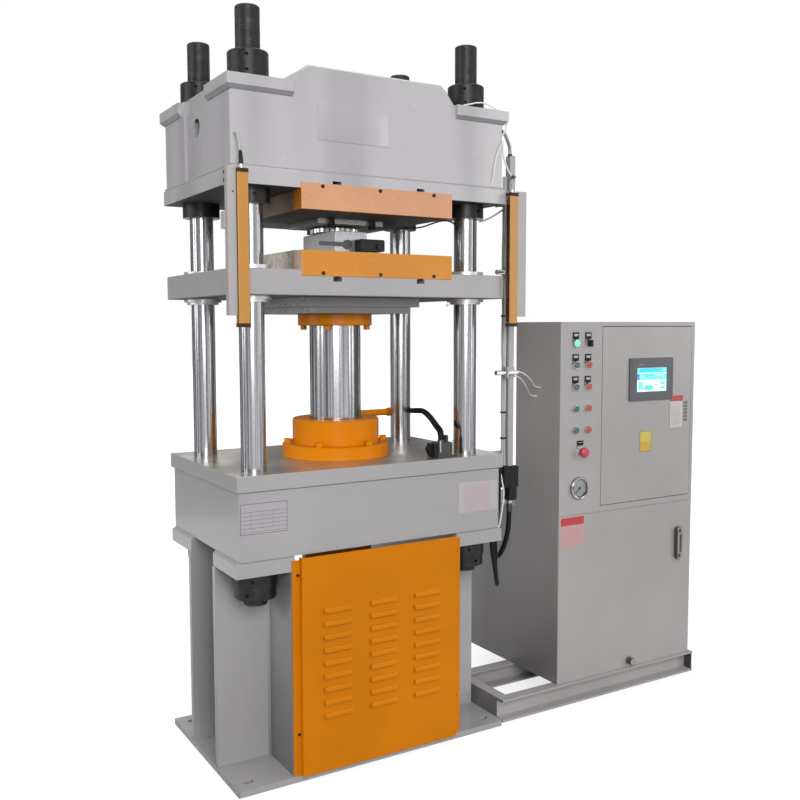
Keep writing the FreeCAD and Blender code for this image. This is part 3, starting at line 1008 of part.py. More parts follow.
def skid():
    """The base frame: channels along the front, middle and rear, with three across."""
    w = CHANNEL_W
    long_x = SKID_X1 - SKID_X0
    inner_front = SKID_FRONT + w
    parts = [channel((SKID_X0, inner_front, 0), (1, 0, 0), long_x, (0, -1, 0)),
             channel((SKID_X0, SKID_MID_Y + w, 0), (1, 0, 0), long_x, (0, -1, 0)),
             channel((SKID_REAR_X0, SKID_REAR - w, 0), (1, 0, 0), SKID_X1 - SKID_REAR_X0,
                     (0, 1, 0))]
    for x, y0, y1, facing in ((SKID_X0, inner_front, SKID_MID_Y, 1),
                              (SKID_REAR_X0, SKID_MID_Y + w, SKID_REAR - w, 1),
                              (SKID_X1, inner_front, SKID_REAR - w, -1)):
        parts.append(channel((x, y0, 0), (0, 1, 0), y1 - y0, (facing, 0, 0)))
    return join(parts)


# --------------------------------------------------------------------- the whole
def fixed_press():
    """The press frame and what it carries."""
    left = leg()
    save("foot_plate", foot_plate())
    save("leg_left", left)
    save("leg_right", mirrored(left))
    save("lower_beam", lower_beam())
    save("columns", *[column(x, y) for x, y in COLUMNS])
    top, base = [], []
    for (x, y), turns in zip(COLUMNS, NUT_TURNS):
        collar, low, high, base_high, base_low = turns
        z = BEAM_BOTTOM - COLLAR_NUT_H
        top.append(nut(x, y, HEAD_BOTTOM - COLLAR_NUT_H, COLLAR_NUT_H, NUT_D, COLUMN_D, collar))
        top.append(nut(x, y, HEAD_LEDGE_Z, COLLAR_NUT_H, NUT_D, STUD_D, low))
        top.append(nut(x, y, HEAD_LEDGE_Z + COLLAR_NUT_H, TOP_NUT_H, NUT_D, STUD_D, high, 1))
        base.append(nut(x, y, z, COLLAR_NUT_H, BASE_NUT_D, STUD_D, base_high))
        base.append(nut(x, y, z - BASE_NUT_H, BASE_NUT_H, BASE_NUT_D - BASE_NUT_STEP, STUD_D,
                        base_low, -1))
    save("column_nuts", *top)
    save("base_nuts", *base)
    save("upper_crosshead", upper_crosshead())
    save("upper_bolster", bolster(UPPER_BOLSTER_BOTTOM))
    z0 = UPPER_BOLSTER_BOTTOM
    save("upper_cover", tray_cover(z0, COVER_H_UP, z0, HEAD_BOTTOM - SEAM_CLEAR, z0))
    screws = [socket_screw(x, -HEAD_FLANGE_Y / 2 - COVER_SHEET, z0 + COVER_H_UP - COVER_LAP_UP / 2,
                           COVER_SCREW_D, COVER_SCREW_H, (0, -1, 0))
              for x in (-COVER_SCREW_X, 0, COVER_SCREW_X)]
    for z in GUARD_SCREW_Z:
        for side in (-1, 1):
            screws.append(socket_screw(side * GUARD_SCREW_X, GUARD_SEAT_Y - GUARD_SHEET, z,
                                       GUARD_SCREW_D, GUARD_SCREW_H, (0, -1, 0)))
    save("frame_screws", *(screws + bracket_bolts(-1) + bracket_bolts(1)))
    save("cylinder_barrel", cylinder_barrel())
    save("cylinder_gland", cylinder_gland())
    save("cylinder_bolts", *[bolt_head(x, y, CYL_FLANGE_TOP, CYL_BOLT_D, CYL_BOLT_H, False)
                             for x, y in on_circle(CYL_BOLT_PCD, CYL_BOLTS, CYL_BOLT_TURN)])
    save("front_guard", front_guard())
    save("leak_pipe", tube("leak pipe", PIPE_ROUTE, PIPE_D, PIPE_BEND), pipe_coupling())
    save("conduit", tube("conduit", CONDUIT_ROUTE, CONDUIT_D))
    save("connector_box", connector_box())
    save("connector_plug", *connector_plug())
    bars = [curtain(CURTAIN_LEFT_X, 1), curtain(CURTAIN_RIGHT_X, -1)]
    save("light_curtains", *(bars + curtain_caps(CURTAIN_LEFT_X) + curtain_caps(CURTAIN_RIGHT_X)))
    save("bracket_left", bracket(-BRACKET_LEFT_REACH, -BRACKET_LEFT_INNER, -1, CURTAIN_LEFT_X))
    save("bracket_right", bracket(HEAD_FLANGE_X / 2, BRACKET_RIGHT_REACH, 1, CURTAIN_RIGHT_X))
    save("limit_switch", limit_switch())
    save("sensor_rail", sensor_rail())
    save("barrel_sensors", *barrel_sensors())
    sizes = {"upper wire": WIRE_D, "lower wire": WIRE_D, "top lead": TOP_LEAD_D}
    save("signal_cables", cable_bundle(), *[tube(name, route, sizes.get(name, LEAD_D))
                                            for name, route in WIRE_ROUTES.items()])
    save("junction_block", junction_block())
    save("hoses", tube("hose", HOSE_ROUTE, HOSE_D), tube("loop", LOOP_ROUTE, LOOP_D))
    save("upper_die", die_plate())
    save("die_clamps", *clamps())


def moving_press():
    """The platen and what rides on it."""
    save("moving_platen", moving_platen())
    save("guide_bushes", *[guide_bush(x, y) for x, y in COLUMNS])
    save("riser_plates", slab(0, 0, RISER_X, RISER_Y, RISER_BOTTOM, PLATEN_BOTTOM),
         slab(0, 0, SEAT_X, SEAT_Y, SEAT_BOTTOM, RISER_BOTTOM))
    save("ram_flange", ram_flange())
    save("ram_bolts", *[bolt_head(x, y, RAM_FLANGE_BOTTOM, RAM_BOLT_D, RAM_BOLT_H, True)
                        for x, y in on_circle(RAM_BOLT_PCD, RAM_BOLTS, RAM_BOLT_TURN)])
    save("ram", ram())
    save("lower_bolster", bolster(PLATEN_TOP))
    z0 = PLATEN_TOP - COVER_LAP_LOW
    z1 = z0 + COVER_H_LOW
    save("lower_cover", tray_cover(z0, COVER_H_LOW, PLATEN_TOP + SEAM_CLEAR, z1, z1 - COVER_SHEET))
    save("cover_screws", *[socket_screw(x, -PLATEN_Y / 2 - COVER_SHEET, z0 + COVER_LAP_LOW / 2,
                                        COVER_SCREW_D, COVER_SCREW_H, (0, -1, 0))
                           for x in (-COVER_SCREW_X, 0, COVER_SCREW_X)])
    save("lower_die", *lower_die())
    save("toothed_ring", toothed_ring())


def power_unit():
    """The tank, the cabinet on it, the skid and the operating elements."""
    save("tank", tank())
    save("tank_fittings", *tank_fittings())
    save("skid", skid())
    save("cabinet", cabinet())
    save("cabinet_door", cabinet_door())
    save("operator_panel", operator_panel())
    rings = []
    for column_at, x in enumerate(BUTTON_X):
        for row, z in enumerate(BUTTON_Z):
            top = row == len(BUTTON_Z) - 1
            rings.append(bezel(x, z, lens=top and column_at == 0))
            if not top:
                name = ("green_button_%d", "red_button_%d")[column_at] % (row + 1)
                save(name, push_button(x, z))
    rings.append(bezel(ESTOP_X, ESTOP_Z))
    save("button_bezels", *rings)
    save("selector", selector(BUTTON_X[1], BUTTON_Z[-1]))
    save("estop", estop())
    save("gauge", gauge())
    save("gauge_needle", needle())


os.makedirs("parts", exist_ok=True)
fixed_press()
moving_press()
power_unit()
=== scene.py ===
"""Four-column hydraulic press with its power unit: finishes, small pieces and studio."""

import json
import logging
import math
from dataclasses import dataclass
from enum import Enum
from typing import Callable, Iterable, Sequence, Union

import bmesh
import bpy
from bpy.types import Material, Mesh, Node, NodeSocket, NodeTree, Object, World
from mathutils import Matrix, Vector

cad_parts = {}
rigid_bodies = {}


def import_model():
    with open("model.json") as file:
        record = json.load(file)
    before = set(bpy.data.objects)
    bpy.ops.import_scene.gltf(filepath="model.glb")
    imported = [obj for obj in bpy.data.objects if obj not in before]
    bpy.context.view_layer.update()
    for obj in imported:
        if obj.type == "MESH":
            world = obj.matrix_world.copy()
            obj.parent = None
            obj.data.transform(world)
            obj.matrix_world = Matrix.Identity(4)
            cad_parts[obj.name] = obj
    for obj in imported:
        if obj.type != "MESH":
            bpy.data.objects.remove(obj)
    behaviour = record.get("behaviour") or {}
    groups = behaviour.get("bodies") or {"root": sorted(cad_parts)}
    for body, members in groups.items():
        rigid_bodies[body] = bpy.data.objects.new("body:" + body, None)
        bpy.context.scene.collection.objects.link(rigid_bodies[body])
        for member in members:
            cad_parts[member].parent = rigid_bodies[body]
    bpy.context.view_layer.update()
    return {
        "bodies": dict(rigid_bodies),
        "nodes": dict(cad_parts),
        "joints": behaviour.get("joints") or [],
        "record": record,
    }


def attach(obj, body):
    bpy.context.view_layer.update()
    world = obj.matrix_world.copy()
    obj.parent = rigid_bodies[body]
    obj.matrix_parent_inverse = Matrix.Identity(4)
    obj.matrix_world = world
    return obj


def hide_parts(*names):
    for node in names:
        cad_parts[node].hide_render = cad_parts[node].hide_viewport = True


LOG = logging.getLogger("press")
Point = tuple[float, float, float]
Colour = tuple[float, float, float]
Rect = tuple[float, float, float, float]
MM = 0.001


class Axis(Enum):
    """The way a screw, ring or knob looks out."""

    FRONT = (0.0, -1.0, 0.0)
    UP = (0.0, 0.0, 1.0)
    DOWN = (0.0, 0.0, -1.0)
    LEFT = (-1.0, 0.0, 0.0)
    RIGHT = (1.0, 0.0, 0.0)

    def turn(self) -> Matrix:
        """The rotation that takes +Z to this way."""
        return Vector((0, 0, 1)).rotation_difference(Vector(self.value)).to_matrix().to_4x4()


# ------------------------------------------------------------------ shader maths
class Tree:
    """A node tree that the script writes."""

    def __init__(self, tree: NodeTree) -> None:
        """Takes the tree to write in."""
        self.tree = tree

    def node(self, kind: str, settings: dict[str, object] | None = None,
             inputs: dict[int | str, object] | None = None) -> Node:
        """Adds any node.

        Args:
            kind: the node's type.
            settings: its properties, which are set first.
            inputs: values or links, by socket name or number.

        Returns:
            The node.
        """
        node = self.tree.nodes.new(kind)
        for key, value in (settings or {}).items():
            setattr(node, key, value)
        for key, value in (inputs or {}).items():
            socket = node.inputs[key]
            if isinstance(value, Val):
                value = value.socket
            if isinstance(value, NodeSocket):
                self.tree.links.new(value, socket)
            elif socket.type == "RGBA":
                socket.default_value = (*value, 1.0)
            else:
                socket.default_value = value
        return node


@dataclass(frozen=True)
class Val:
    """One socket of a material, on which plain arithmetic adds Math nodes."""

    shade: "Shade"
    socket: NodeSocket

    def math(self, operation: str, *others: "Operand", swap: bool = False) -> "Val":
        """Adds a Math node.

        Args:
            operation: the node's operation.
            others: what stands beside this value.
            swap: puts this value last.

        Returns:
            The node's result.
        """
        values: list[Operand] = [*others, self] if swap else [self, *others]
        return self.shade.out("ShaderNodeMath", {"operation": operation}, dict(enumerate(values)))

    def __add__(self, other: "Operand") -> "Val":
        """Sum."""
        return self.math("ADD", other)

    __radd__ = __add__

    def __sub__(self, other: "Operand") -> "Val":
        """Difference."""
        return self.math("SUBTRACT", other)

    def __rsub__(self, other: "Operand") -> "Val":
        """Difference with this value last."""
        return self.math("SUBTRACT", other, swap=True)

    def __mul__(self, other: "Operand") -> "Val":
        """Product."""
        return self.math("MULTIPLY", other)

    __rmul__ = __mul__

    def __pow__(self, other: "Operand") -> "Val":
        """Power."""
        return self.math("POWER", other)

    def step(self, low: float, high: float) -> "Val":
        """A smooth step from 0 at low to 1 at high."""
        return self.shade.out("ShaderNodeMapRange", {"interpolation_type": "SMOOTHSTEP"},
                              {0: self, 1: low, 2: high, 3: 0.0, 4: 1.0})


Operand = Union[Val, float]


class Shade(Tree):
    """A material's or the world's node tree, written as expressions on values."""

    def __init__(self, name: str, world: World | None = None) -> None:
        """Starts an empty tree.

        Args:
            name: the name of the new material.
            world: the world whose tree is written, where it isn't a material's.
        """
        self.owner = world or bpy.data.materials.new(name)
        self.owner.use_nodes = True
        super().__init__(self.owner.node_tree)
        self.tree.nodes.clear()
        self._coordinates: Node | None = None

    def out(self, kind: str, settings: dict[str, object] | None = None,
            inputs: dict[int | str, object] | None = None, output: int | str = 0) -> Val:
        """Adds any node and returns one of its outputs."""
        return Val(self, self.node(kind, settings, inputs).outputs[output])

    def place(self) -> Val:
        """Adds the coordinates once.

        Returns:
            The point in metres, as the object's own coordinates.
        """
        if self._coordinates is None:
            self._coordinates = self.node("ShaderNodeTexCoord")
        return Val(self, self._coordinates.outputs["Object"])

    def split(self, vector: Val) -> tuple[Val, Val, Val]:
        """A vector's three numbers."""
        node = self.node("ShaderNodeSeparateXYZ", None, {0: vector})
        return Val(self, node.outputs[0]), Val(self, node.outputs[1]), Val(self, node.outputs[2])

    def stretched(self, scale: Point) -> Val:
        """The place, scaled by one number on each axis."""
        return self.out("ShaderNodeMapping", None, {0: self.place(), 3: scale})

    def noise(self, scale: float, detail: float = 2.0, rough: float = 0.5,
              vector: Val | None = None) -> Val:
        """Noise about 0.5, with that many lumps a metre."""
        return self.out("ShaderNodeTexNoise", None,
                        {"Vector": vector or self.place(), "Scale": scale, "Detail": detail,
                         "Roughness": rough})

    def mix(self, factor: Operand, a: "Val | Colour", b: "Val | Colour") -> Val:
        """Colour a where the factor is 0 and b where it is 1."""
        return self.out("ShaderNodeMix", {"data_type": "RGBA"}, {0: factor, 6: a, 7: b}, 2)

    def bump(self, height: Val, depth: float, strength: float = 1.0,
             normal: Val | None = None) -> Val:
        """A bump.

        Args:
            height: what is high, between 0 and 1.
            depth: how high 1 stands, in metres.
            strength: how much of it shows.
            normal: the normal that it starts from, where that isn't the surface's own.

        Returns:
            The new normal.
        """
        inputs: dict[int | str, object] = {"Strength": strength, "Distance": depth,
                                           "Height": height}
        if normal is not None:
            inputs["Normal"] = normal
        return self.out("ShaderNodeBump", None, inputs)

    def rounded(self, radius: float) -> Val:
        """The normal with the edges rounded by that radius."""
        return self.out("ShaderNodeBevel", {"samples": 4}, {0: radius})

    def edge(self, radius: float) -> Val:
        """Finds the edges.

        Args:
            radius: how near to an edge a point has to be.

        Returns:
            A mask that is 1 along edges.
        """
        sharp = self.normal()
        near = self.out("ShaderNodeVectorMath", {"operation": "DOT_PRODUCT"},
                        {0: self.rounded(radius), 1: sharp}, "Value")
        return (1 - near).step(0.01, 0.22)

    def normal(self) -> Val:
        """The way that the surface faces."""
        return self.out("ShaderNodeNewGeometry", None, None, "Normal")

    def facing(self) -> tuple[Val, Val, Val]:
        """The way that the surface faces, as three numbers."""
        return self.split(self.normal())

    def under(self) -> Val:
        """A mask that is 1 on faces that look down."""
        return 1 - self.facing()[2].step(-0.90, -0.55)

    def left(self) -> Val:
        """A mask that is 1 on faces that look to the press's left."""
        return 1 - self.facing()[0].step(-0.8, -0.5)

    def finish(self, shader: Val) -> Material:
        """Ends the material with that shader and returns it."""
        self.node("ShaderNodeOutputMaterial", None, {0: shader})
        return self.owner

    def surface(self, **inputs: object) -> Val:
        """A Principled shader; underscores in the names stand for spaces."""
        named = {key.replace("_", " "): value for key, value in inputs.items()}
        return self.out("ShaderNodeBsdfPrincipled", None, named)


# ---------------------------------------------------------------------- finishes
DUST: Colour = (0.42, 0.40, 0.36)
# Painted shade: the dark colour of faces that look down.
UNDERSIDE_SHADE_COLOUR: Colour = (0.026, 0.024, 0.023)
# Painted shade: the colour that low faces looking left darken to.
LOW_LEFT_SHADE_COLOUR: Colour = (0.040, 0.037, 0.034)


def tone(colour: Colour, factor: float, lift: float = 0.0) -> Colour:
    """A colour times a factor, plus a lift, with no part past 1."""
    return tuple(min(1.0, part * factor + lift) for part in colour)


@dataclass(frozen=True)
class Enamel:
    """Sprayed enamel on steel: orange peel, filler waves and rubbed edges, with painted shade on
    faces that look down.
    """

    name: str
    colour: Colour
    rough: float = 0.32
    wave: float = 0.25
    wave_scale: float = 16.0
    grime: float = 0.08
    worn: Colour = (0.30, 0.29, 0.27)
    gloss: float = 0.4
    coat: float = 0.15
    dust: float = 0.03
    # Painted shade: the colour of faces that look down.
    underside_shade: Colour = UNDERSIDE_SHADE_COLOUR
    # The colour of faces that look left; on the upper cover it is painted shade.
    side: Colour | None = None
    mottle: float = 0.0
    streak: float = 0.0
    # Painted shade that darkens low faces looking left, and the height where it fades out.
    low_left_shade: float = 0.0
    low_left_shade_top: float = 0.80

    def build(self) -> Material:
        """Builds the material.

        Returns:
            The material.
        """
        s = Shade(self.name)
        cloud = s.noise(2.2, 3.0)
        fine = s.noise(38.0, 4.0, 0.6)
        dust = s.noise(9.0, 5.0, 0.65).step(0.52, 0.80)
        edge = s.edge(0.0018) * s.noise(120.0, 3.0, 0.7).step(0.58, 0.68)
        under = s.under()
        base = s.mix(cloud.step(0.3, 0.7), tone(self.colour, 1 - self.grime),
                     tone(self.colour, 1 + 0.5 * self.grime))
        if self.streak:
            fall = s.noise(1.0, 2.0, 0.5, s.stretched((3.2, 3.2, 0.45))).step(0.38, 0.62)
            base = s.mix(fall * self.streak, base, tone(self.colour, 1.35))
        if self.mottle:
            speck = s.noise(240.0, 3.0, 0.7).step(0.50, 0.66)
            base = s.mix(speck * self.mottle, base, tone(self.colour, 1.1, 0.12))
        # Faces that look left take the side colour; on the upper cover that is painted shade.
        if self.side:
            base = s.mix(s.left(), base, self.side)
        # Painted shade: low faces that look left darken towards the bottom.
        if self.low_left_shade:
            low = 1 - s.split(s.place())[2].step(0.0, self.low_left_shade_top)
            base = s.mix(s.left() * low * self.low_left_shade, base, LOW_LEFT_SHADE_COLOUR)
        if self.dust:
            base = s.mix(dust * self.dust, base, DUST)
        base = s.mix(edge * 0.55, base, self.worn)
        # Painted shade: faces that look down take the dark underside colour.
        base = s.mix(under, base, self.underside_shade)
        rough = self.rough + (fine - 0.5) * 0.10 + dust * 0.06 + edge * 0.15 + under * 0.45
        peel = s.noise(520.0, 1.0)
        normal = s.bump(s.noise(self.wave_scale, 2.0), self.wave * MM, 0.6,
                        s.bump(peel, 0.06 * MM, 0.5, s.rounded(0.0016)))
        return s.finish(s.surface(Base_Color=base, Roughness=rough, Normal=normal,
                                  Coat_Weight=(1 - under) * self.coat, Coat_Roughness=0.12,
                                  Specular_IOR_Level=self.gloss))


@dataclass(frozen=True)
class Beam:
    """Grey enamel with a machined steel face on top."""

    name: str
    colour: Colour
    steel: Colour
    face_z: float

    def build(self) -> Material:
        """Builds the material.

        Returns:
            The material.
        """
        s = Shade(self.name)
        face = s.split(s.place())[2].step(self.face_z - 0.0012, self.face_z - 0.0004)
        cloud = s.noise(2.2, 3.0)
        dust = s.noise(9.0, 5.0, 0.65).step(0.52, 0.74)
        paint = s.mix(cloud.step(0.3, 0.7), tone(self.colour, 0.92), self.colour)
        paint = s.mix(dust * 0.03, paint, DUST)
        under = s.under()
        # Painted shade: faces that look down take the dark underside colour.
        paint = s.mix(under, paint, UNDERSIDE_SHADE_COLOUR)
        strokes = s.noise(1.0, 3.0, 0.6, s.stretched((16.0, 420.0, 1.0)))
        stain = s.noise(3.4, 4.0, 0.6).step(0.40, 0.66)
        steel = s.mix(stain * 0.6, self.steel, (0.36, 0.32, 0.27))
        steel = s.mix(strokes.step(0.35, 0.7) * 0.25, steel, (0.30, 0.28, 0.26))
        base = s.mix(face, paint, steel)
        rough = 0.34 + under * 0.45 + face * (stain * 0.12 + strokes * 0.14 - 0.14)
        wave = s.bump(s.noise(16.0, 2.0), 0.25 * MM, 0.5)
        normal = s.bump(strokes * face, 0.012 * MM, 0.5, wave)
        return s.finish(s.surface(Base_Color=base, Roughness=rough, Metallic=face * 0.85,
                                  Normal=normal, Coat_Weight=(1 - face) * (1 - under) * 0.25,
                                  Coat_Roughness=0.12))


@dataclass(frozen=True)
class Chrome:
    """Hard chrome on a ground bar: fine rings, faint oil and a few drawn lines."""

    name: str
    colour: Colour = (0.42, 0.42, 0.44)
    rough: float = 0.10
    ring: float = 0.004
    thread_below: float = -9.0
    thread_above: float = 9.0

    def build(self) -> Material:
        """Builds the material.

        Returns:
            The material.
        """
        s = Shade(self.name)
        z = s.split(s.place())[2]
        rings = s.noise(1.0, 3.0, 0.7, s.stretched((2.0, 2.0, 900.0)))
        lines = s.noise(1.0, 3.0, 0.6, s.stretched((170.0, 170.0, 0.8)))
        oil = s.noise(1.0, 4.0, 0.6, s.stretched((18.0, 18.0, 2.0))).step(0.45, 0.7)
        threaded = z.step(self.thread_above - 0.0005, self.thread_above)
        threaded = threaded + (1 - z.step(self.thread_below, self.thread_below + 0.0005))
        drawn = lines.step(0.46, 0.62)
        bright = s.mix(oil * 0.15 + drawn * 0.38, self.colour, tone(self.colour, 0.62))
        base = s.mix(threaded, bright, (0.030, 0.028, 0.029))
        rough = self.rough + rings * 0.03 + drawn * 0.05 + oil * 0.04 + threaded * 0.22
        normal = s.bump(rings, self.ring * MM, 0.4)
        return s.finish(s.surface(Base_Color=base, Roughness=rough, Normal=normal,
                                  Metallic=1 - threaded * 0.35))


@dataclass(frozen=True)
class Oxide:
    """Blackened steel with turning marks, oil and rubbed edges."""

    name: str
    colour: Colour = (0.019, 0.0175, 0.0185)
    rough: float = 0.36
    ring_scale: float = 900.0
    rubbed: Colour = (0.17, 0.16, 0.16)

    def build(self) -> Material:
        """Builds the material.

        Returns:
            The material.
        """
        s = Shade(self.name)
        rings = s.noise(1.0, 3.0, 0.7, s.stretched((12.0, 12.0, self.ring_scale)))
        blotch = s.noise(30.0, 4.0, 0.6).step(0.42, 0.72)
        edge = s.edge(0.0016) * s.noise(160.0, 2.0, 0.6).step(0.40, 0.60)
        base = s.mix(blotch * 0.5, self.colour, tone(self.colour, 1.9))
        base = s.mix(edge * 0.7, base, self.rubbed)
        rough = self.rough + (rings - 0.5) * 0.16 + blotch * 0.10 - edge * 0.08
        normal = s.bump(rings, 0.05 * MM, 0.4, s.rounded(0.0008))
        return s.finish(s.surface(Base_Color=base, Roughness=rough, Metallic=0.70,
                                  Normal=normal))


@dataclass(frozen=True)
class Steel:
    """Machined steel, ground or milled along one axis."""

    name: str
    colour: Colour
    rough: float = 0.28
    strokes: Point = (18.0, 600.0, 600.0)
    depth: float = 0.02
    stain: Colour = (0.30, 0.25, 0.19)
    stained: float = 0.35
    # The colour of faces that look left; on the lower bolster and the riser plates it is painted
    # reflection.
    side: Colour | None = None
    # How dark faces that look down are: painted shade.
    below: float = 0.25
    metal: float = 0.92

    def build(self) -> Material:
        """Builds the material.

        Returns:
            The material.
        """
        s = Shade(self.name)
        strokes = s.noise(1.0, 4.0, 0.65, s.stretched(self.strokes))
        blot = s.noise(11.0, 5.0, 0.65).step(0.46, 0.74)
        edge = s.edge(0.0014)
        under = s.under()
        base = s.mix(blot * self.stained, self.colour, self.stain)
        metal: Operand = self.metal
        # Faces that look left take the side colour, mottled and less metallic: painted reflection
        # on the lower bolster and the risers.
        if self.side:
            left = s.left()
            scale = s.noise(70.0, 4.0, 0.7).step(0.42, 0.66)
            left_face_colour = s.mix(scale * 0.55, self.side, tone(self.side, 0.35))
            base = s.mix(left, base, left_face_colour)
            metal = self.metal - left * (self.metal - 0.25)
        # Painted shade: faces that look down take a darker tone.
        base = s.mix(under, base, tone(self.colour, self.below))
        base = s.mix(strokes.step(0.3, 0.8) * 0.22, base, tone(self.colour, 0.6))
        base = s.mix(edge * 0.35, base, tone(self.colour, 1.4))
        rough = self.rough + (strokes - 0.5) * 0.16 + blot * 0.12 + under * 0.25
        normal = s.bump(strokes, self.depth * MM, 0.6, s.rounded(0.0009))
        return s.finish(s.surface(Base_Color=base, Roughness=rough, Metallic=metal,
                                  Normal=normal))


@dataclass(frozen=True)
class DieSet:
    """The lower die: a lapped block, with a dark strap and a black holder before it."""

    name: str
    front: float

    def build(self) -> Material:
        """Builds the material.

        Returns:
            The material.
        """
        s = Shade(self.name)
        x, y, _ = s.split(s.place())
        before = 1 - y.step(self.front - 0.0010, self.front - 0.0004)
        left = s.left()
        grain = s.noise(1.0, 3.0, 0.6, s.stretched((420.0, 420.0, 60.0)))
        blot = s.noise(60.0, 4.0, 0.6).step(0.45, 0.7)
        block = s.mix(blot * 0.25, (0.64, 0.65, 0.68), (0.40, 0.40, 0.42))
        block = s.mix(left, block, (0.56, 0.56, 0.57))
        iron = s.mix(x.step(0.004, 0.008), (0.10, 0.098, 0.10), (0.014, 0.014, 0.015))
        base = s.mix(before, block, s.mix(blot * 0.3, iron, (0.05, 0.05, 0.052)))
        rough = 0.20 + grain * 0.10 + left * 0.26 + before * 0.20 + blot * 0.05
        normal = s.bump(grain, 0.012 * MM, 0.5, s.rounded(0.0008))
        return s.finish(s.surface(Base_Color=base, Roughness=rough, Normal=normal,
                                  Metallic=0.92 - before * 0.4 - left * (1 - before) * 0.7))


@dataclass(frozen=True)
class ToothSteel:
    """A ring whose teeth are ground bright and whose gaps are black."""

    name: str
    gap: float

    def build(self) -> Material:
        """Builds the material.

        Returns:
            The material.
        """
        s = Shade(self.name)
        x, y, _ = s.split(s.place())
        away = (x * x + y * y) ** 0.5
        tooth = away.step(self.gap + 0.0008, self.gap + 0.0026)
        grain = s.noise(300.0, 3.0, 0.6)
        base = s.mix(tooth, (0.020, 0.019, 0.019), (0.78, 0.77, 0.76))
        base = s.mix(grain.step(0.5, 0.8) * 0.3, base, (0.25, 0.24, 0.22))
        return s.finish(s.surface(Base_Color=base, Roughness=0.42 - tooth * 0.22 + grain * 0.08,
                                  Metallic=0.5 + tooth * 0.4,
                                  Normal=s.bump(grain, 0.02 * MM, 0.5)))


@dataclass(frozen=True)
class Moulding:
    """A moulded plastic or rubber skin with a fine grain."""

    name: str
    colour: Colour
    rough: float = 0.42
    grain: float = 0.02
    grain_scale: float = 1400.0
    coat: float = 0.0
    glow: float = 0.0
    gloss: float = 0.5

    def build(self) -> Material:
        """Builds the material.

        Returns:
            The material.
        """
        s = Shade(self.name)
        grain = s.noise(self.grain_scale, 2.0, 0.6)
        smear = s.noise(45.0, 4.0, 0.6).step(0.42, 0.75)
        base = s.mix(smear * 0.18, self.colour, tone(self.colour, 1.25, 0.02))
        rough = self.rough + (grain - 0.5) * 0.12 + smear * 0.10
        normal = s.bump(grain, self.grain * MM, 0.5, s.rounded(0.0006))
        extra = {}
        if self.glow:
            extra = {"Emission_Color": base, "Emission_Strength": self.glow}
        return s.finish(s.surface(Base_Color=base, Roughness=rough, Normal=normal,
                                  Coat_Weight=self.coat, Coat_Roughness=0.08,
                                  Specular_IOR_Level=self.gloss, **extra))


@dataclass(frozen=True)
class Glass:
    """Clear glass or a clear cover."""

    name: str
    tint: Colour = (0.95, 0.98, 0.97)
    rough: float = 0.02

    def build(self) -> Material:
        """Builds the material.

        Returns:
            The material.
        """
        s = Shade(self.name)
        smear = s.noise(60.0, 3.0, 0.6).step(0.45, 0.75)
        return s.finish(s.surface(Base_Color=self.tint, Roughness=self.rough + smear * 0.05,
                                  Transmission_Weight=1.0, IOR=1.3))


GREY: Colour = (0.362, 0.352, 0.360)
UNIT_GREY: Colour = (0.378, 0.361, 0.358)
AMBER: Colour = (0.625, 0.192, 0.0006)


class Finishes:
    """Builds each finish once and puts it on nodes and pieces."""

    def __init__(self) -> None:
        """Starts with no material built."""
        self._built: dict[str, Material] = {}

    def get(self, finish: "Finish") -> Material:
        """Builds a finish where it isn't built yet.

        Args:
            finish: the finish.

        Returns:
            Its material.
        """
        if finish.name not in self._built:
            self._built[finish.name] = finish.build()
        return self._built[finish.name]

    def dress(self, node: Object, finish: "Finish") -> None:
        """Puts a finish on every slot of an object.

        Args:
            node: the object.
            finish: what it is made of.
        """
        material = self.get(finish)
        if not node.material_slots:
            node.data.materials.append(material)
        for slot in node.material_slots:
            slot.material = material


Finish = Union[Enamel, Beam, Chrome, Oxide, Steel, DieSet, ToothSteel, Moulding, Glass]


def printed(name: str, colour: Colour, rough: float = 0.40) -> Moulding:
    """The finish of a printed plate or sheet."""
    return Moulding(name, colour, rough=rough, grain=0.004)


def lit(name: str, colour: Colour, glow: float = 0.70) -> Moulding:
    """The finish of a lit field on the screen."""
    return Moulding(name, colour, rough=0.20, glow=glow, grain=0.001)


# Low faces that look left are darkened, and faces that look down too: painted shade.
FRAME_GREY = Enamel("frame_grey_enamel", GREY, low_left_shade=0.70)
# The weld beads are darker than the frame: painted shade of the seam's shadow line.
SEAM_GREY = Enamel("seam_grey_enamel", (0.300, 0.292, 0.300), rough=0.36, wave=0.05)
HEAD_GREY = Enamel("crosshead_grey_enamel", (0.368, 0.355, 0.373), rough=0.24, wave=0.55,
                   wave_scale=13.0, streak=0.75, coat=0.30)
# Low faces that look left and faces that look down are darkened: painted shade.
UNIT_PAINT = Enamel("unit_grey_enamel", UNIT_GREY, rough=0.42, wave=0.04, wave_scale=6.0,
                    dust=0.02, underside_shade=(0.20, 0.20, 0.19), low_left_shade=0.62, low_left_shade_top=0.72)
# Its underside colour is painted shade.
AMBER_PAINT = Enamel("amber_enamel", AMBER, rough=0.30, wave=0.12, grime=0.10,
                     worn=(0.30, 0.16, 0.05), gloss=0.14, coat=0.0, dust=0.0,
                     underside_shade=(0.20, 0.06, 0.004))
# Its darker side colour on faces that look left and its underside colour are painted shade.
UPPER_COVER_PAINT = Enamel("salmon_amber_enamel", (0.62, 0.305, 0.165), rough=0.28, wave=0.12,
                           grime=0.12, worn=(0.22, 0.13, 0.05), gloss=0.35, coat=0.05,
                           dust=0.0, side=(0.50, 0.150, 0.012), mottle=0.35,
                           underside_shade=(0.10, 0.035, 0.008))
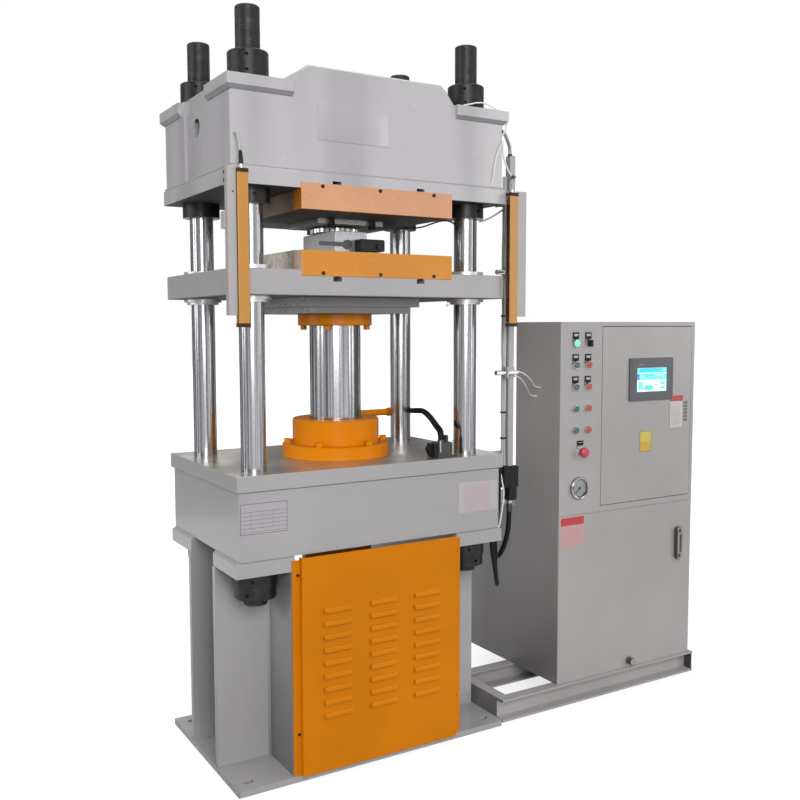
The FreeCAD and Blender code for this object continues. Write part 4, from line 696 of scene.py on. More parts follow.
# Its underside colour is painted shade.
LOWER_COVER_PAINT = Enamel("cover_amber_enamel", (0.595, 0.232, 0.028), rough=0.26, wave=0.12,
                           grime=0.10, worn=(0.30, 0.16, 0.05), gloss=0.35, coat=0.05,
                           dust=0.0, side=(0.60, 0.42, 0.30), underside_shade=(0.10, 0.035, 0.008))
CURTAIN_PAINT = Enamel("curtain_yellow", (0.48, 0.222, 0.040), rough=0.38, wave=0.02,
                       grime=0.06, dust=0.0)
BED = Beam("beam_enamel_and_face", GREY, (0.56, 0.53, 0.49), 1.0)
COLUMN_CHROME = Chrome("column_chrome", rough=0.15, thread_above=1.8745, thread_below=0.6865)
RAM_CHROME = Chrome("ram_chrome", rough=0.15)
GAUGE_RING = Chrome("gauge_ring", (0.36, 0.36, 0.37), rough=0.16)
BRIGHT = Chrome("bright_ring", (0.70, 0.70, 0.71), rough=0.14)
BLACK = Oxide("black_oxide")
GROUND_DARK = Steel("ground_steel_dark", (0.24, 0.22, 0.20), rough=0.36,
                    side=(0.27, 0.21, 0.16), below=0.22)
# Its pale side colour is painted reflection on the lower bolster's left faces.
GROUND = Steel("ground_steel", (0.58, 0.56, 0.53), rough=0.24, side=(0.66, 0.60, 0.51))
# Its dark colour is painted shade of the platen's shadow, and its pale side colour is painted
# reflection.
MILLED = Steel("milled_steel", (0.18, 0.178, 0.175), rough=0.34, strokes=(300.0, 300.0, 40.0),
               side=(0.60, 0.59, 0.58))
DIE_PLATE = Steel("die_plate_steel", (0.55, 0.54, 0.53), rough=0.28, stained=0.2, below=0.35)
BUSH_SILVER = Steel("bush_silver", (0.62, 0.61, 0.61), rough=0.34, strokes=(40.0, 40.0, 700.0),
                    stained=0.15, below=0.5, metal=0.75)
DIE_STEEL = DieSet("die_steel", -0.125)
TEETH = ToothSteel("tooth_steel", 0.078)
RUBBER = Moulding("black_rubber", (0.007, 0.007, 0.0075), rough=0.46, grain=0.05, gloss=0.14)
CABLE_GREY = Moulding("grey_jacket", (0.38, 0.38, 0.38), rough=0.45)
CABLE_WHITE = Moulding("white_jacket", (0.72, 0.72, 0.70), rough=0.42)
CABLE_DULL = Moulding("dull_jacket", (0.46, 0.46, 0.44), rough=0.45)
RIBBED = Moulding("ribbed_black", (0.006, 0.006, 0.0065), rough=0.36, grain=0.01, gloss=0.16)
ZINC = Steel("zinc_plate", (0.55, 0.54, 0.50), rough=0.30, strokes=(200.0, 200.0, 200.0),
             stained=0.2)
FITTING = Steel("fitting_steel", (0.30, 0.295, 0.28), rough=0.34,
                strokes=(200.0, 200.0, 200.0), stained=0.2, side=(0.060, 0.058, 0.055))
HEX_STEEL = Steel("hex_steel", (0.50, 0.49, 0.47), rough=0.30, strokes=(80.0, 80.0, 300.0))
BLACK_PLASTIC = Moulding("black_plastic", (0.010, 0.010, 0.011), rough=0.38, gloss=0.18)
CAP_BROWN = Moulding("cap_brown", (0.035, 0.016, 0.008), rough=0.34, gloss=0.25)
HOOD_GREY = Moulding("hood_grey", (0.055, 0.055, 0.058), rough=0.42, gloss=0.3)
STRIP_BEIGE = Moulding("strip_beige", (0.46, 0.43, 0.35), rough=0.45)
DARK_FERRULE = Steel("dark_ferrule", (0.060, 0.058, 0.056), rough=0.34,
                     strokes=(200.0, 200.0, 200.0), stained=0.2, metal=0.6)
GREY_PLASTIC = Moulding("grey_plastic", (0.42, 0.40, 0.39), rough=0.45)
SCREEN_FRAME = Moulding("panel_grey", (0.085, 0.087, 0.098), rough=0.36)
GREEN = Moulding("green_button", (0.030, 0.150, 0.090), rough=0.30, coat=0.2, grain=0.005)
RED = Moulding("red_button", (0.500, 0.045, 0.055), rough=0.30, coat=0.2, grain=0.005)
LEGEND_WHITE = printed("legend_white", (0.40, 0.41, 0.41))
PALE_GREY = printed("pale_grey_print", (0.20, 0.20, 0.22))
DIAL_WHITE = printed("dial_white", (0.24, 0.24, 0.245), 0.45)
PLATE_SILVER = printed("plate_silver", (0.37, 0.35, 0.375), 0.34)
INK_RED = printed("plate_ink", (0.12, 0.085, 0.11), 0.45)
SHEET_GREY = printed("sheet_grey", (0.43, 0.41, 0.42), 0.38)
SHEET_PINK = printed("sheet_pink", (0.50, 0.31, 0.31))
SHEET_PALE = printed("sheet_pale", (0.42, 0.375, 0.395))
SHEET_BLUSH = printed("sheet_blush", (0.46, 0.29, 0.31))
SHEET_ROSE = printed("sheet_rose", (0.52, 0.24, 0.24))
SHEET_RED = printed("sheet_red", (0.47, 0.040, 0.045), 0.36)
SHEET_WHITE = printed("sheet_white", (0.52, 0.50, 0.49), 0.38)
SHEET_LINE = printed("sheet_line", (0.24, 0.23, 0.22), 0.42)
SHEET_STEEL = printed("sheet_steel", (0.14, 0.135, 0.12), 0.34)
SHEET_YELLOW = printed("sheet_yellow", (0.56, 0.47, 0.080), 0.38)
SHEET_ORANGE = printed("sheet_orange", (0.55, 0.35, 0.050), 0.38)
SHEET_BROWN = printed("sheet_brown", (0.16, 0.11, 0.030))
SCREEN_BACK = lit("screen_white", (0.55, 0.88, 0.92), 0.62)
SCREEN_TEAL = lit("screen_teal", (0.02, 0.44, 0.53), 0.75)
SCREEN_SKY = lit("screen_sky", (0.12, 0.62, 0.76))
SCREEN_BLUE = lit("screen_blue", (0.06, 0.16, 0.45))
SCREEN_WHITE = lit("screen_pale", (0.80, 0.90, 0.92))
SCREEN_GREEN = lit("screen_green", (0.06, 0.62, 0.36))
SCREEN_RED = lit("screen_red", (0.78, 0.25, 0.33), 0.65)
LENS = Moulding("lens_strip", (0.028, 0.012, 0.007), rough=0.20, coat=0.3, grain=0.001,
                gloss=0.25)
SLOT_DARK = Moulding("gauge_slot", (0.045, 0.040, 0.032), rough=0.22, grain=0.001)
OIL = Moulding("gauge_oil", (0.045, 0.026, 0.008), rough=0.15, grain=0.001)
CLEAR = Glass("clear_cover")
LAMP_GREEN = Moulding("lit_lens", (0.10, 0.85, 0.42), rough=0.25, glow=0.9)

WEARERS: tuple[tuple[Finish, str], ...] = (
    (FRAME_GREY, "foot_plate leg_left leg_right moving_platen"),
    (BED, "lower_beam"),
    (HEAD_GREY, "upper_crosshead"),
    (COLUMN_CHROME, "columns"),
    (BLACK, "column_nuts base_nuts cover_screws frame_screws"),
    (GROUND_DARK, "upper_bolster"),
    (GROUND, "lower_bolster"),
    (UPPER_COVER_PAINT, "upper_cover"),
    (LOWER_COVER_PAINT, "lower_cover"),
    (AMBER_PAINT, "cylinder_barrel cylinder_gland cylinder_bolts front_guard leak_pipe "
                  "ram_flange ram_bolts"),
    (RUBBER, "conduit hoses"),
    (HOOD_GREY, "connector_box"),
    (BLACK_PLASTIC, "connector_plug junction_block die_clamps selector gauge_needle"),
    (CURTAIN_PAINT, "light_curtains"),
    (UNIT_PAINT, "bracket_left bracket_right sensor_rail tank skid cabinet cabinet_door"),
    (GREY_PLASTIC, "limit_switch"),
    (BRIGHT, "barrel_sensors button_bezels"),
    (CABLE_GREY, "signal_cables"),
    (DIE_PLATE, "upper_die"),
    (BUSH_SILVER, "guide_bushes"),
    (MILLED, "riser_plates"),
    (RAM_CHROME, "ram"),
    (DIE_STEEL, "lower_die"),
    (TEETH, "toothed_ring"),
    (FITTING, "tank_fittings"),
    (SCREEN_FRAME, "operator_panel"),
    (RED, "estop red_button_1 red_button_2 red_button_3 red_button_4"),
    (GAUGE_RING, "gauge"),
    (GREEN, "green_button_1 green_button_2 green_button_3 green_button_4"),
)
DRESS: dict[str, Finish] = {node: finish for finish, nodes in WEARERS for node in nodes.split()}


# ------------------------------------------------------------------------ studio
@dataclass(frozen=True)
class Lamp:
    """One square soft lamp, shown in reflections or not."""

    name: str
    place: Point
    size: float
    watts: float
    mirrored: bool = True


LAMPS = (
    Lamp("key_lamp", (-1.6, -5.0, 2.7), 3.0, 216.0),
    Lamp("side_lamp", (-5.0, 0.6, 2.6), 2.6, 104.0),
    Lamp("fill_lamp", (4.6, -4.2, 2.4), 3.2, 92.0),
    Lamp("top_lamp", (0.4, 0.4, 5.6), 3.0, 55.0),
    Lamp("back_lamp", (1.6, 5.2, 3.0), 3.0, 80.0, mirrored=False),
)
# Upright sheets that only reflections see: angle from +X in degrees, width, brightness.
FLAGS: tuple[tuple[float, float, float], ...] = (
    (-186, 0.90, 0.14), (-170, 0.35, 0.03), (-157, 0.95, 0.26), (-140, 0.30, 0.05),
    (-128, 0.55, 0.34), (-114, 0.16, 0.08), (-98, 0.50, 0.30), (-80, 0.35, 0.20),
    (-55, 0.45, 0.05), (-40, 0.80, 0.28), (-20, 0.75, 0.06), (4, 1.45, 0.09),
    (33, 1.60, 0.04), (62, 1.50, 0.10), (92, 1.60, 0.04), (121, 1.50, 0.08),
    (147, 1.10, 0.05))


@dataclass
class Studio:
    """The pale floor, the soft lamps, the dark flags that chrome shows, and the camera."""

    place: Point = (-1.5082, -2.9363, 1.4526)
    yaw: float = 31.17
    pitch: float = 4.55
    roll: float = -0.12
    lens: float = 41.81
    sensor: float = 36.0
    sight: float = 200.0
    aim: Point = (0.2, 0.0, 1.1)
    floor_half: float = 30.0
    floor_z: float = -0.0004
    floor_glow: float = 1.22
    room_level: float = 0.33
    mirrored_level: float = 0.80
    flag_reach: float = 4.2
    flag_tall: float = 3.4

    def camera(self) -> None:
        """Puts the camera where the photograph was taken."""
        data = bpy.data.cameras.new("camera")
        data.lens = self.lens
        data.sensor_width = self.sensor
        data.sensor_fit = "HORIZONTAL"
        data.clip_end = self.sight
        eye = bpy.data.objects.new("camera", data)
        turn = (Matrix.Rotation(math.radians(-self.yaw), 4, "Z")
                @ Matrix.Rotation(math.radians(90.0 - self.pitch), 4, "X")
                @ Matrix.Rotation(math.radians(self.roll), 4, "Z"))
        eye.matrix_world = Matrix.Translation(self.place) @ turn
        bpy.context.scene.collection.objects.link(eye)
        bpy.context.scene.camera = eye

    def world(self) -> None:
        """A white room: white to the camera, dimmer than white to the surfaces."""
        world = bpy.data.worlds.new("room")
        bpy.context.scene.world = world
        s = Shade("room", world)
        path = s.node("ShaderNodeLightPath")
        level = s.out("ShaderNodeMapRange", None,
                      {"Value": Val(s, path.outputs["Is Glossy Ray"]),
                       "To Min": self.room_level, "To Max": self.mirrored_level})
        seen = Val(s, path.outputs["Is Camera Ray"])
        seen = seen.math("MAXIMUM", Val(s, path.outputs["Is Transmission Ray"]))
        back = s.out("ShaderNodeBackground", None,
                     {"Color": (1.0, 1.0, 1.0), "Strength": seen.math("MAXIMUM", level)})
        s.node("ShaderNodeOutputWorld", None, {"Surface": back})

    def floor(self) -> None:
        """A pale floor that keeps the machine's shadow."""
        half, z = self.floor_half, self.floor_z
        mesh = bpy.data.meshes.new("floor")
        mesh.from_pydata([(-half, -half, z), (half, -half, z), (half, half, z),
                          (-half, half, z)], [], [(0, 1, 2, 3)])
        floor = bpy.data.objects.new("floor", mesh)
        bpy.context.scene.collection.objects.link(floor)
        s = Shade("pale_floor")
        lit = s.surface(Base_Color=(0.93, 0.93, 0.93), Roughness=0.9, Specular_IOR_Level=0.0)
        glow = s.out("ShaderNodeEmission", None, {0: (1.0, 1.0, 1.0), 1: self.floor_glow})
        dull = s.surface(Base_Color=(0.16, 0.16, 0.16), Roughness=0.9, Specular_IOR_Level=0.0)
        path = s.node("ShaderNodeLightPath")
        seen = Val(s, path.outputs["Is Camera Ray"])
        for other in ("Is Glossy Ray", "Is Transmission Ray"):
            seen = seen.math("MAXIMUM", Val(s, path.outputs[other]))
        far = s.out("ShaderNodeVectorMath", {"operation": "LENGTH"}, {0: s.place()}, "Value")
        share = 0.62 + 0.38 * far.step(1.4, 4.5)
        white = s.out("ShaderNodeMixShader", None, {0: share, 1: lit, 2: glow})
        mesh.materials.append(s.finish(s.out("ShaderNodeMixShader", None,
                                             {0: seen, 1: dull, 2: white})))

    def lamp(self, lamp: Lamp) -> None:
        """Sets up one lamp.

        Args:
            lamp: its name, place, size and power.
        """
        data = bpy.data.lights.new(lamp.name, "AREA")
        data.shape = "SQUARE"
        data.size = lamp.size
        data.energy = lamp.watts
        made = bpy.data.objects.new(lamp.name, data)
        made.location = lamp.place
        way = Vector(self.aim) - Vector(lamp.place)
        made.rotation_euler = way.to_track_quat("-Z", "Y").to_euler()
        made.visible_glossy = lamp.mirrored
        bpy.context.scene.collection.objects.link(made)

    def flag(self, name: str, angle: float, width: float, level: float) -> None:
        """An upright sheet that only reflections see.

        Args:
            name: its name.
            angle: where it stands round the machine, in degrees from +X.
            width: its width.
            level: how bright it is.
        """
        a = math.radians(angle)
        centre = Vector((math.cos(a), math.sin(a), 0.0)) * self.flag_reach
        side = Vector((-math.sin(a), math.cos(a), 0.0)) * (width / 2)
        low, high, up = centre - side, centre + side, Vector((0, 0, self.flag_tall))
        mesh = bpy.data.meshes.new(name)
        mesh.from_pydata([low, high, high + up, low + up], [], [(0, 1, 2, 3)])
        flag = bpy.data.objects.new(name, mesh)
        bpy.context.scene.collection.objects.link(flag)
        s = Shade(name)
        mesh.materials.append(s.finish(s.out("ShaderNodeEmission", None,
                                             {0: (level, level, level * 1.02), 1: 1.0})))
        flag.visible_camera = False
        flag.visible_diffuse = False
        flag.visible_shadow = False
        flag.visible_transmission = False

    def build(self) -> None:
        """Everything round the machine."""
        self.camera()
        self.world()
        self.floor()
        for lamp in LAMPS:
            self.lamp(lamp)
        for number, (angle, width, level) in enumerate(FLAGS):
            self.flag("flag_%d" % number, angle, width, level)


# ------------------------------------------------------------------- mesh making
SHARP = 34.0


def soften(mesh: Mesh, sharp: float) -> None:
    """Shades a mesh smooth, apart from the edges sharper than that angle in degrees."""
    mesh.polygons.foreach_set("use_smooth", [True] * len(mesh.polygons))
    mesh.set_sharp_from_angle(angle=math.radians(sharp))


class Former:
    """Collects the faces of one piece and the finish of each."""

    ease_steps: int = 2
    ease_profile: float = 0.6

    def __init__(self, name: str, finishes: Finishes) -> None:
        """Starts an empty piece.

        Args:
            name: the piece's name.
            finishes: where its materials come from.
        """
        self.name = name
        self.finishes = finishes
        self.bm = bmesh.new()
        self.used: list[Finish] = []

    def _take(self, faces: Iterable[bmesh.types.BMFace], finish: Finish) -> None:
        """Gives faces their finish.

        Args:
            faces: the faces.
            finish: what they are made of, which gets a slot of the piece when it is new.
        """
        if finish not in self.used:
            self.used.append(finish)
        number = self.used.index(finish)
        for face in faces:
            face.material_index = number

    def box(self, low: Point, high: Point, finish: Finish, bevel: float = 0.0) -> None:
        """A block between two corners, with its edges eased by the bevel.

        Args:
            low: the lowest corner.
            high: the highest corner.
            finish: what it is made of.
            bevel: how far its edges are eased.
        """
        size = [b - a for a, b in zip(low, high)]
        centre = [(a + b) / 2 for a, b in zip(low, high)]
        place = Matrix.Translation(centre) @ Matrix.Diagonal((*size, 1.0))
        made = bmesh.ops.create_cube(self.bm, size=1.0, matrix=place)
        faces = {f for v in made["verts"] for f in v.link_faces}
        if bevel > 0:
            edges = list(dict.fromkeys(e for v in made["verts"] for e in v.link_edges))
            eased = bmesh.ops.bevel(self.bm, geom=edges, offset=bevel, affect="EDGES",
                                    segments=self.ease_steps, profile=self.ease_profile,
                                    clamp_overlap=True)
            faces = {f for v in eased["verts"] for f in v.link_faces}
        self._take(faces, finish)

    def slab(self, outline: Sequence[tuple[float, float]], y: float, thick: float,
             finish: Finish) -> None:
        """A thin plate on a front face.

        Args:
            outline: its corners as (x, z), anticlockwise seen from the front.
            y: the plane that it lies on.
            thick: how far it stands out from that plane.
            finish: what it is made of.
        """
        back = [self.bm.verts.new((x, y, z)) for x, z in outline]
        front = [self.bm.verts.new((x, y - thick, z)) for x, z in outline]
        faces = [self.bm.faces.new(front), self.bm.faces.new(back[::-1])]
        count = len(outline)
        for i in range(count):
            j = (i + 1) % count
            faces.append(self.bm.faces.new((back[i], back[j], front[j], front[i])))
        self._take(faces, finish)

    def lathe(self, profile: Sequence[tuple[float, float]], place: Matrix, finish: Finish,
              steps: int = 32) -> None:
        """A turned shape.

        Args:
            profile: (radius, height) points from the foot to the top.
            place: where its foot and its axis are.
            finish: what it is made of.
            steps: how many sides it has.
        """
        rings = []
        for radius, height in profile:
            if radius == 0.0:
                rings.append([self.bm.verts.new(place @ Vector((0, 0, height)))])
                continue
            ring = []
            for i in range(steps):
                a = 2 * math.pi * i / steps
                spot = Vector((radius * math.cos(a), radius * math.sin(a), height))
                ring.append(self.bm.verts.new(place @ spot))
            rings.append(ring)
        faces = []
        for low, high in zip(rings, rings[1:]):
            for i in range(steps):
                j = (i + 1) % steps
                if len(low) == 1 and len(high) == 1:
                    break
                if len(low) == 1:
                    faces.append(self.bm.faces.new((low[0], high[j], high[i])))
                elif len(high) == 1:
                    faces.append(self.bm.faces.new((low[i], low[j], high[0])))
                else:
                    faces.append(self.bm.faces.new((low[i], low[j], high[j], high[i])))
        self._take(faces, finish)

    def tube(self, path: Sequence[Vector], radius: float, finish: Finish, steps: int = 12,
             swell: Callable[[int], float] | None = None) -> None:
        """A round skin along points.

        Args:
            path: the centre line.
            radius: the tube's radius.
            finish: what it is made of.
            steps: how many sides it has.
            swell: the radius' factor at a point's number.
        """
        points = [Vector(p) for p in path]
        ways = [(points[min(i + 1, len(points) - 1)] - points[max(i - 1, 0)]).normalized()
                for i in range(len(points))]
        up = ways[0].orthogonal().normalized()
        rings = []
        for number, (point, way) in enumerate(zip(points, ways)):
            up = (up - way * up.dot(way)).normalized()
            side = way.cross(up)
            r = radius * (swell(number) if swell else 1.0)
            rings.append([self.bm.verts.new(
                point + up * (r * math.cos(2 * math.pi * i / steps))
                + side * (r * math.sin(2 * math.pi * i / steps))) for i in range(steps)])
        faces = [self.bm.faces.new(rings[0][::-1]), self.bm.faces.new(rings[-1])]
        for low, high in zip(rings, rings[1:]):
            for i in range(steps):
                j = (i + 1) % steps
                faces.append(self.bm.faces.new((low[i], low[j], high[j], high[i])))
        self._take(faces, finish)

    def end(self, body: str, slot: str, sharp: float = SHARP) -> Object:
        """Makes the object and lets it ride.

        Args:
            body: the CAD body that it moves with.
            slot: the record's material slot, handed on to settle.
            sharp: the angle in degrees past which an edge stays sharp.

        Returns:
            The piece.
        """
        bmesh.ops.recalc_face_normals(self.bm, faces=self.bm.faces)
        mesh = bpy.data.meshes.new(self.name)
        self.bm.to_mesh(mesh)
        self.bm.free()
        for finish in self.used:
            mesh.materials.append(self.finishes.get(finish))
        soften(mesh, sharp)
        return self.settle(bpy.data.objects.new(self.name, mesh), body, slot)

    @staticmethod
    def settle(piece: Object, body: str, slot: str) -> Object:
        """Links a piece and lets it ride.

        Args:
            piece: the piece's object.
            body: the CAD body that it moves with.
            slot: the record's material slot; not used.

        Returns:
            The piece.
        """
        if piece.name not in bpy.context.scene.collection.objects:
            bpy.context.scene.collection.objects.link(piece)
        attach(piece, body)
        count = len(piece.data.polygons) if piece.type == "MESH" else 0
        LOG.info("%s: %s, %d faces, on %s", piece.name, piece.type.lower(), count, body)
        return piece


def islands(node: Object) -> list[tuple[Vector, Vector]]:
    """Finds a node's separate solids.

    Args:
        node: the node's object.

    Returns:
        Each solid's box as its lowest and highest corner, from left to right.
    """
    bm = bmesh.new()
    bm.from_mesh(node.data)
    bmesh.ops.remove_doubles(bm, verts=bm.verts, dist=1e-6)
    left = set(bm.verts)
    boxes = []
    while left:
        front = [left.pop()]
        found = list(front)
        while front:
            vert = front.pop()
            for edge in vert.link_edges:
                other = edge.other_vert(vert)
                if other in left:
                    left.remove(other)
                    front.append(other)
                    found.append(other)
        low = Vector([min(v.co[i] for v in found) for i in range(3)])
        high = Vector([max(v.co[i] for v in found) for i in range(3)])
        boxes.append((low, high))
    bm.free()
    return sorted(boxes, key=lambda b: tuple(b[0]))


class Grower(Tree):
    """A Geometry Nodes tree that is built in the script and applied to one object."""

    def __init__(self, name: str) -> None:
        """Starts the tree with a geometry input and output.

        Args:
            name: the tree's name.
        """
        super().__init__(bpy.data.node_groups.new(name, "GeometryNodeTree"))
        for way in ("INPUT", "OUTPUT"):
            self.tree.interface.new_socket("Geometry", in_out=way,
                                           socket_type="NodeSocketGeometry")
        self.names: dict[str, str] = {}
        self.source = self.node("NodeGroupInput")
        self.target = self.node("NodeGroupOutput")

    def size(self, name: str, default: float) -> NodeSocket:
        """Adds a number input.

        Args:
            name: its name.
            default: its value where none is given.

        Returns:
            Its socket inside the tree.
        """
        made = self.tree.interface.new_socket(name, in_out="INPUT",
                                              socket_type="NodeSocketFloat")
        made.default_value = default
        self.names[name] = made.identifier
        return self.source.outputs[name]

    def maths(self, operation: str, a: object, b: object) -> NodeSocket:
        """A Math node's result."""
        return self.node("ShaderNodeMath", {"operation": operation}, {0: a, 1: b}).outputs[0]

    def lifted(self, geometry: NodeSocket,
               height: NodeSocket) -> NodeSocket:
        """That geometry, moved up by a height."""
        lift = self.node("ShaderNodeCombineXYZ", None, {2: height})
        return self.node("GeometryNodeTransform", None,
                         {"Geometry": geometry, "Translation": lift.outputs[0]}).outputs[0]

    def close(self, geometry: NodeSocket, material: Material) -> None:
        """Ends the tree in Realize Instances and Set Material.

        Args:
            geometry: what the tree has made.
            material: what it is made of.
        """
        real = self.node("GeometryNodeRealizeInstances", None, {0: geometry})
        dressed = self.node("GeometryNodeSetMaterial", None,
                            {"Geometry": real.outputs[0], "Material": material})
        self.tree.links.new(dressed.outputs[0], self.target.inputs[0])

    def grow(self, name: str, mesh: Mesh, sizes: dict[str, float], body: str,
             slot: str, sharp: float = SHARP) -> Object:
        """Runs the tree on a mesh and returns the plain piece.

        Args:
            name: the piece's name.
            mesh: what the tree starts from.
            sizes: values for the named inputs.
            body: the CAD body that it moves with.
            slot: the record's material slot.
            sharp: the angle in degrees past which an edge stays sharp.

        Returns:
            The piece.
        """
        seed = bpy.data.objects.new(name + "_seed", mesh)
        bpy.context.scene.collection.objects.link(seed)
        modifier = seed.modifiers.new("grow", "NODES")
        modifier.node_group = self.tree
        for key, value in sizes.items():
            modifier[self.names[key]] = value
        bpy.context.view_layer.update()
        graph = bpy.context.evaluated_depsgraph_get()
        made = bpy.data.meshes.new_from_object(seed.evaluated_get(graph))
        seed.modifiers.remove(modifier)
        bpy.data.objects.remove(seed)
        made.name = name
        soften(made, sharp)
        return Former.settle(bpy.data.objects.new(name, made), body, slot)


def ribbed_skin(material: Material, sides: int = 20) -> Grower:
    """The tree that makes a ribbed skin along lines.

    Args:
        material: what the skin is made of.
        sides: how many sides it has.

    Returns:
        The tree, with inputs Radius, Pitch and Depth.
    """
    g = Grower("ribbed_skin_" + material.name)
    radius, pitch = g.size("Radius", 0.0105), g.size("Pitch", 0.0042)
    deep = g.size("Depth", 0.075)
    line = g.node("GeometryNodeMeshToCurve", None, {0: g.source.outputs[0]})
    even = g.node("GeometryNodeResampleCurve", {"mode": "LENGTH"},
                  {"Curve": line.outputs[0], "Length": g.maths("MULTIPLY", pitch, 0.25)})
    gone = g.node("GeometryNodeSplineParameter")
    turns = g.maths("DIVIDE", gone.outputs["Length"], pitch)
    wave = g.maths("COSINE", g.maths("MULTIPLY", turns, 2 * math.pi), 0.0)
    swell = g.maths("ADD", g.maths("MULTIPLY", g.maths("SUBTRACT", wave, 1.0), deep), 1.0)
    shaped = g.node("GeometryNodeSetCurveRadius", None,
                    {"Curve": even.outputs[0], "Radius": swell})
    ring = g.node("GeometryNodeCurvePrimitiveCircle", None,
                  {"Resolution": sides, "Radius": radius})
    skin = g.node("GeometryNodeCurveToMesh", None,
                  {"Curve": shaped.outputs[0], "Profile Curve": ring.outputs[0],
                   "Fill Caps": True})
    if "Scale" in skin.inputs:
        g.tree.links.new(swell, skin.inputs["Scale"])
    g.close(skin.outputs[0], material)
    return g


# --------------------------------------------------------------------- fasteners
@dataclass
class SocketScrews:
    """Cylinder-head screws with a hexagon socket and an eased rim."""

    finishes: Finishes
    sides: int = 28
    rim: float = 0.09
    socket: float = 0.46
    sunk: float = 0.55
    phase: float = 0.61
    slim: float = 1.9

    def tree(self, finish: Finish) -> Grower:
        """The tree that puts one head on each point.

        Args:
            finish: what the heads are made of.

        Returns:
            The tree, with inputs Radius, Tall and Phase.
        """
        g = Grower("socket_screws_" + finish.name)
        radius, tall = g.size("Radius", 0.006), g.size("Tall", 0.006)
        phase = g.size("Phase", 0.0)
        rim = g.maths("MULTIPLY", radius, self.rim)
        straight = g.maths("SUBTRACT", tall, rim)
        body = g.node("GeometryNodeMeshCylinder", None,
                      {"Vertices": self.sides, "Radius": radius, "Depth": straight})
        cone = g.node("GeometryNodeMeshCone", None,
                      {"Vertices": self.sides, "Radius Top": g.maths("SUBTRACT", radius, rim),
                       "Radius Bottom": radius, "Depth": rim})
        head = g.node("GeometryNodeMeshBoolean", {"operation": "UNION"})
        middle = g.maths("MULTIPLY", straight, 0.5)
        for part, height in ((body, middle), (cone, straight)):
            g.tree.links.new(g.lifted(part.outputs[0], height), head.inputs["Mesh 2"])
        deep = g.maths("MULTIPLY", tall, self.sunk)
        hexagon = g.node("GeometryNodeMeshCylinder", None,
                         {"Vertices": 6, "Radius": g.maths("MULTIPLY", radius, self.socket),
                          "Depth": g.maths("MULTIPLY", deep, 2.0)})
        hole = g.lifted(hexagon.outputs[0], tall)
        drilled = g.node("GeometryNodeMeshBoolean", {"operation": "DIFFERENCE"},
                         {"Mesh 1": head.outputs[0], "Mesh 2": hole})
        way = g.node("GeometryNodeInputNamedAttribute", {"data_type": "FLOAT_VECTOR"},
                     {"Name": "way"})
        lean = g.node("FunctionNodeAlignRotationToVector", {"axis": "Z"},
                      {"Vector": way.outputs[0]})
        number = g.node("GeometryNodeInputIndex")
        turn = g.node("ShaderNodeCombineXYZ", None,
                      {2: g.maths("MULTIPLY", number.outputs[0], phase)})
        spin = g.node("FunctionNodeRotateRotation", {"rotation_space": "LOCAL"},
                      {0: lean.outputs[0], 1: turn.outputs[0]})
        spread = g.node("GeometryNodeInstanceOnPoints", None,
                        {"Points": g.source.outputs[0], "Instance": drilled.outputs[0],
                         "Rotation": spin.outputs[0]})
        g.close(spread.outputs[0], self.finishes.get(finish))
        return g

    def put(self, name: str, feet: Sequence[tuple[Vector, Axis]], radius: float, tall: float,
            finish: Finish, body: str, slot: str) -> Object:
        """Sets heads on their feet.

        Args:
            name: the piece's name.
            feet: where each head's foot is and which way it looks.
            radius: the heads' radius.
            tall: the heads' height.
            finish: what they are made of.
            body: the CAD body that they move with.
            slot: the record's material slot.

        Returns:
            The piece.
        """
        mesh = bpy.data.meshes.new(name + "_feet")
        mesh.from_pydata([tuple(foot) for foot, _ in feet], [], [])
        ways = mesh.attributes.new("way", "FLOAT_VECTOR", "POINT")
        ways.data.foreach_set("vector", [c for _, axis in feet for c in axis.value])
        return self.tree(finish).grow(
            name, mesh, {"Radius": radius, "Tall": tall, "Phase": self.phase}, body, slot)

    def stand_in(self, frame: dict, node: str, finish: Finish, body: str,
                 look: Callable[[Vector, Vector], Axis]) -> None:
        """Replaces a node of plain heads by heads with sockets.

        Args:
            frame: the loaded frame.
            node: the node's name.
            finish: what the heads are made of.
            body: the body that they move with.
            look: says which way a head looks, from its box.
        """
        groups: dict[tuple[float, float], list[tuple[Vector, Axis]]] = {}
        for low, high in islands(frame["nodes"][node]):
            axis = look(low, high)
            way = Vector(axis.value)
            size = high - low
            tall = abs(size.dot(way))
            radius = max(size.x, size.y, size.z) / 2
            if tall > self.slim * radius:
                radius = min(size.x, size.y, size.z) / 2
            centre = (low + high) / 2
            foot = centre - way * (tall / 2)
            groups.setdefault((round(radius, 4), round(tall, 4)), []).append((foot, axis))
        for number, ((radius, tall), feet) in enumerate(sorted(groups.items())):
            piece = self.put("%s_heads_%d" % (node, number), feet, radius, tall, finish, body,
                             node)
            if number == 0:
                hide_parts(node)


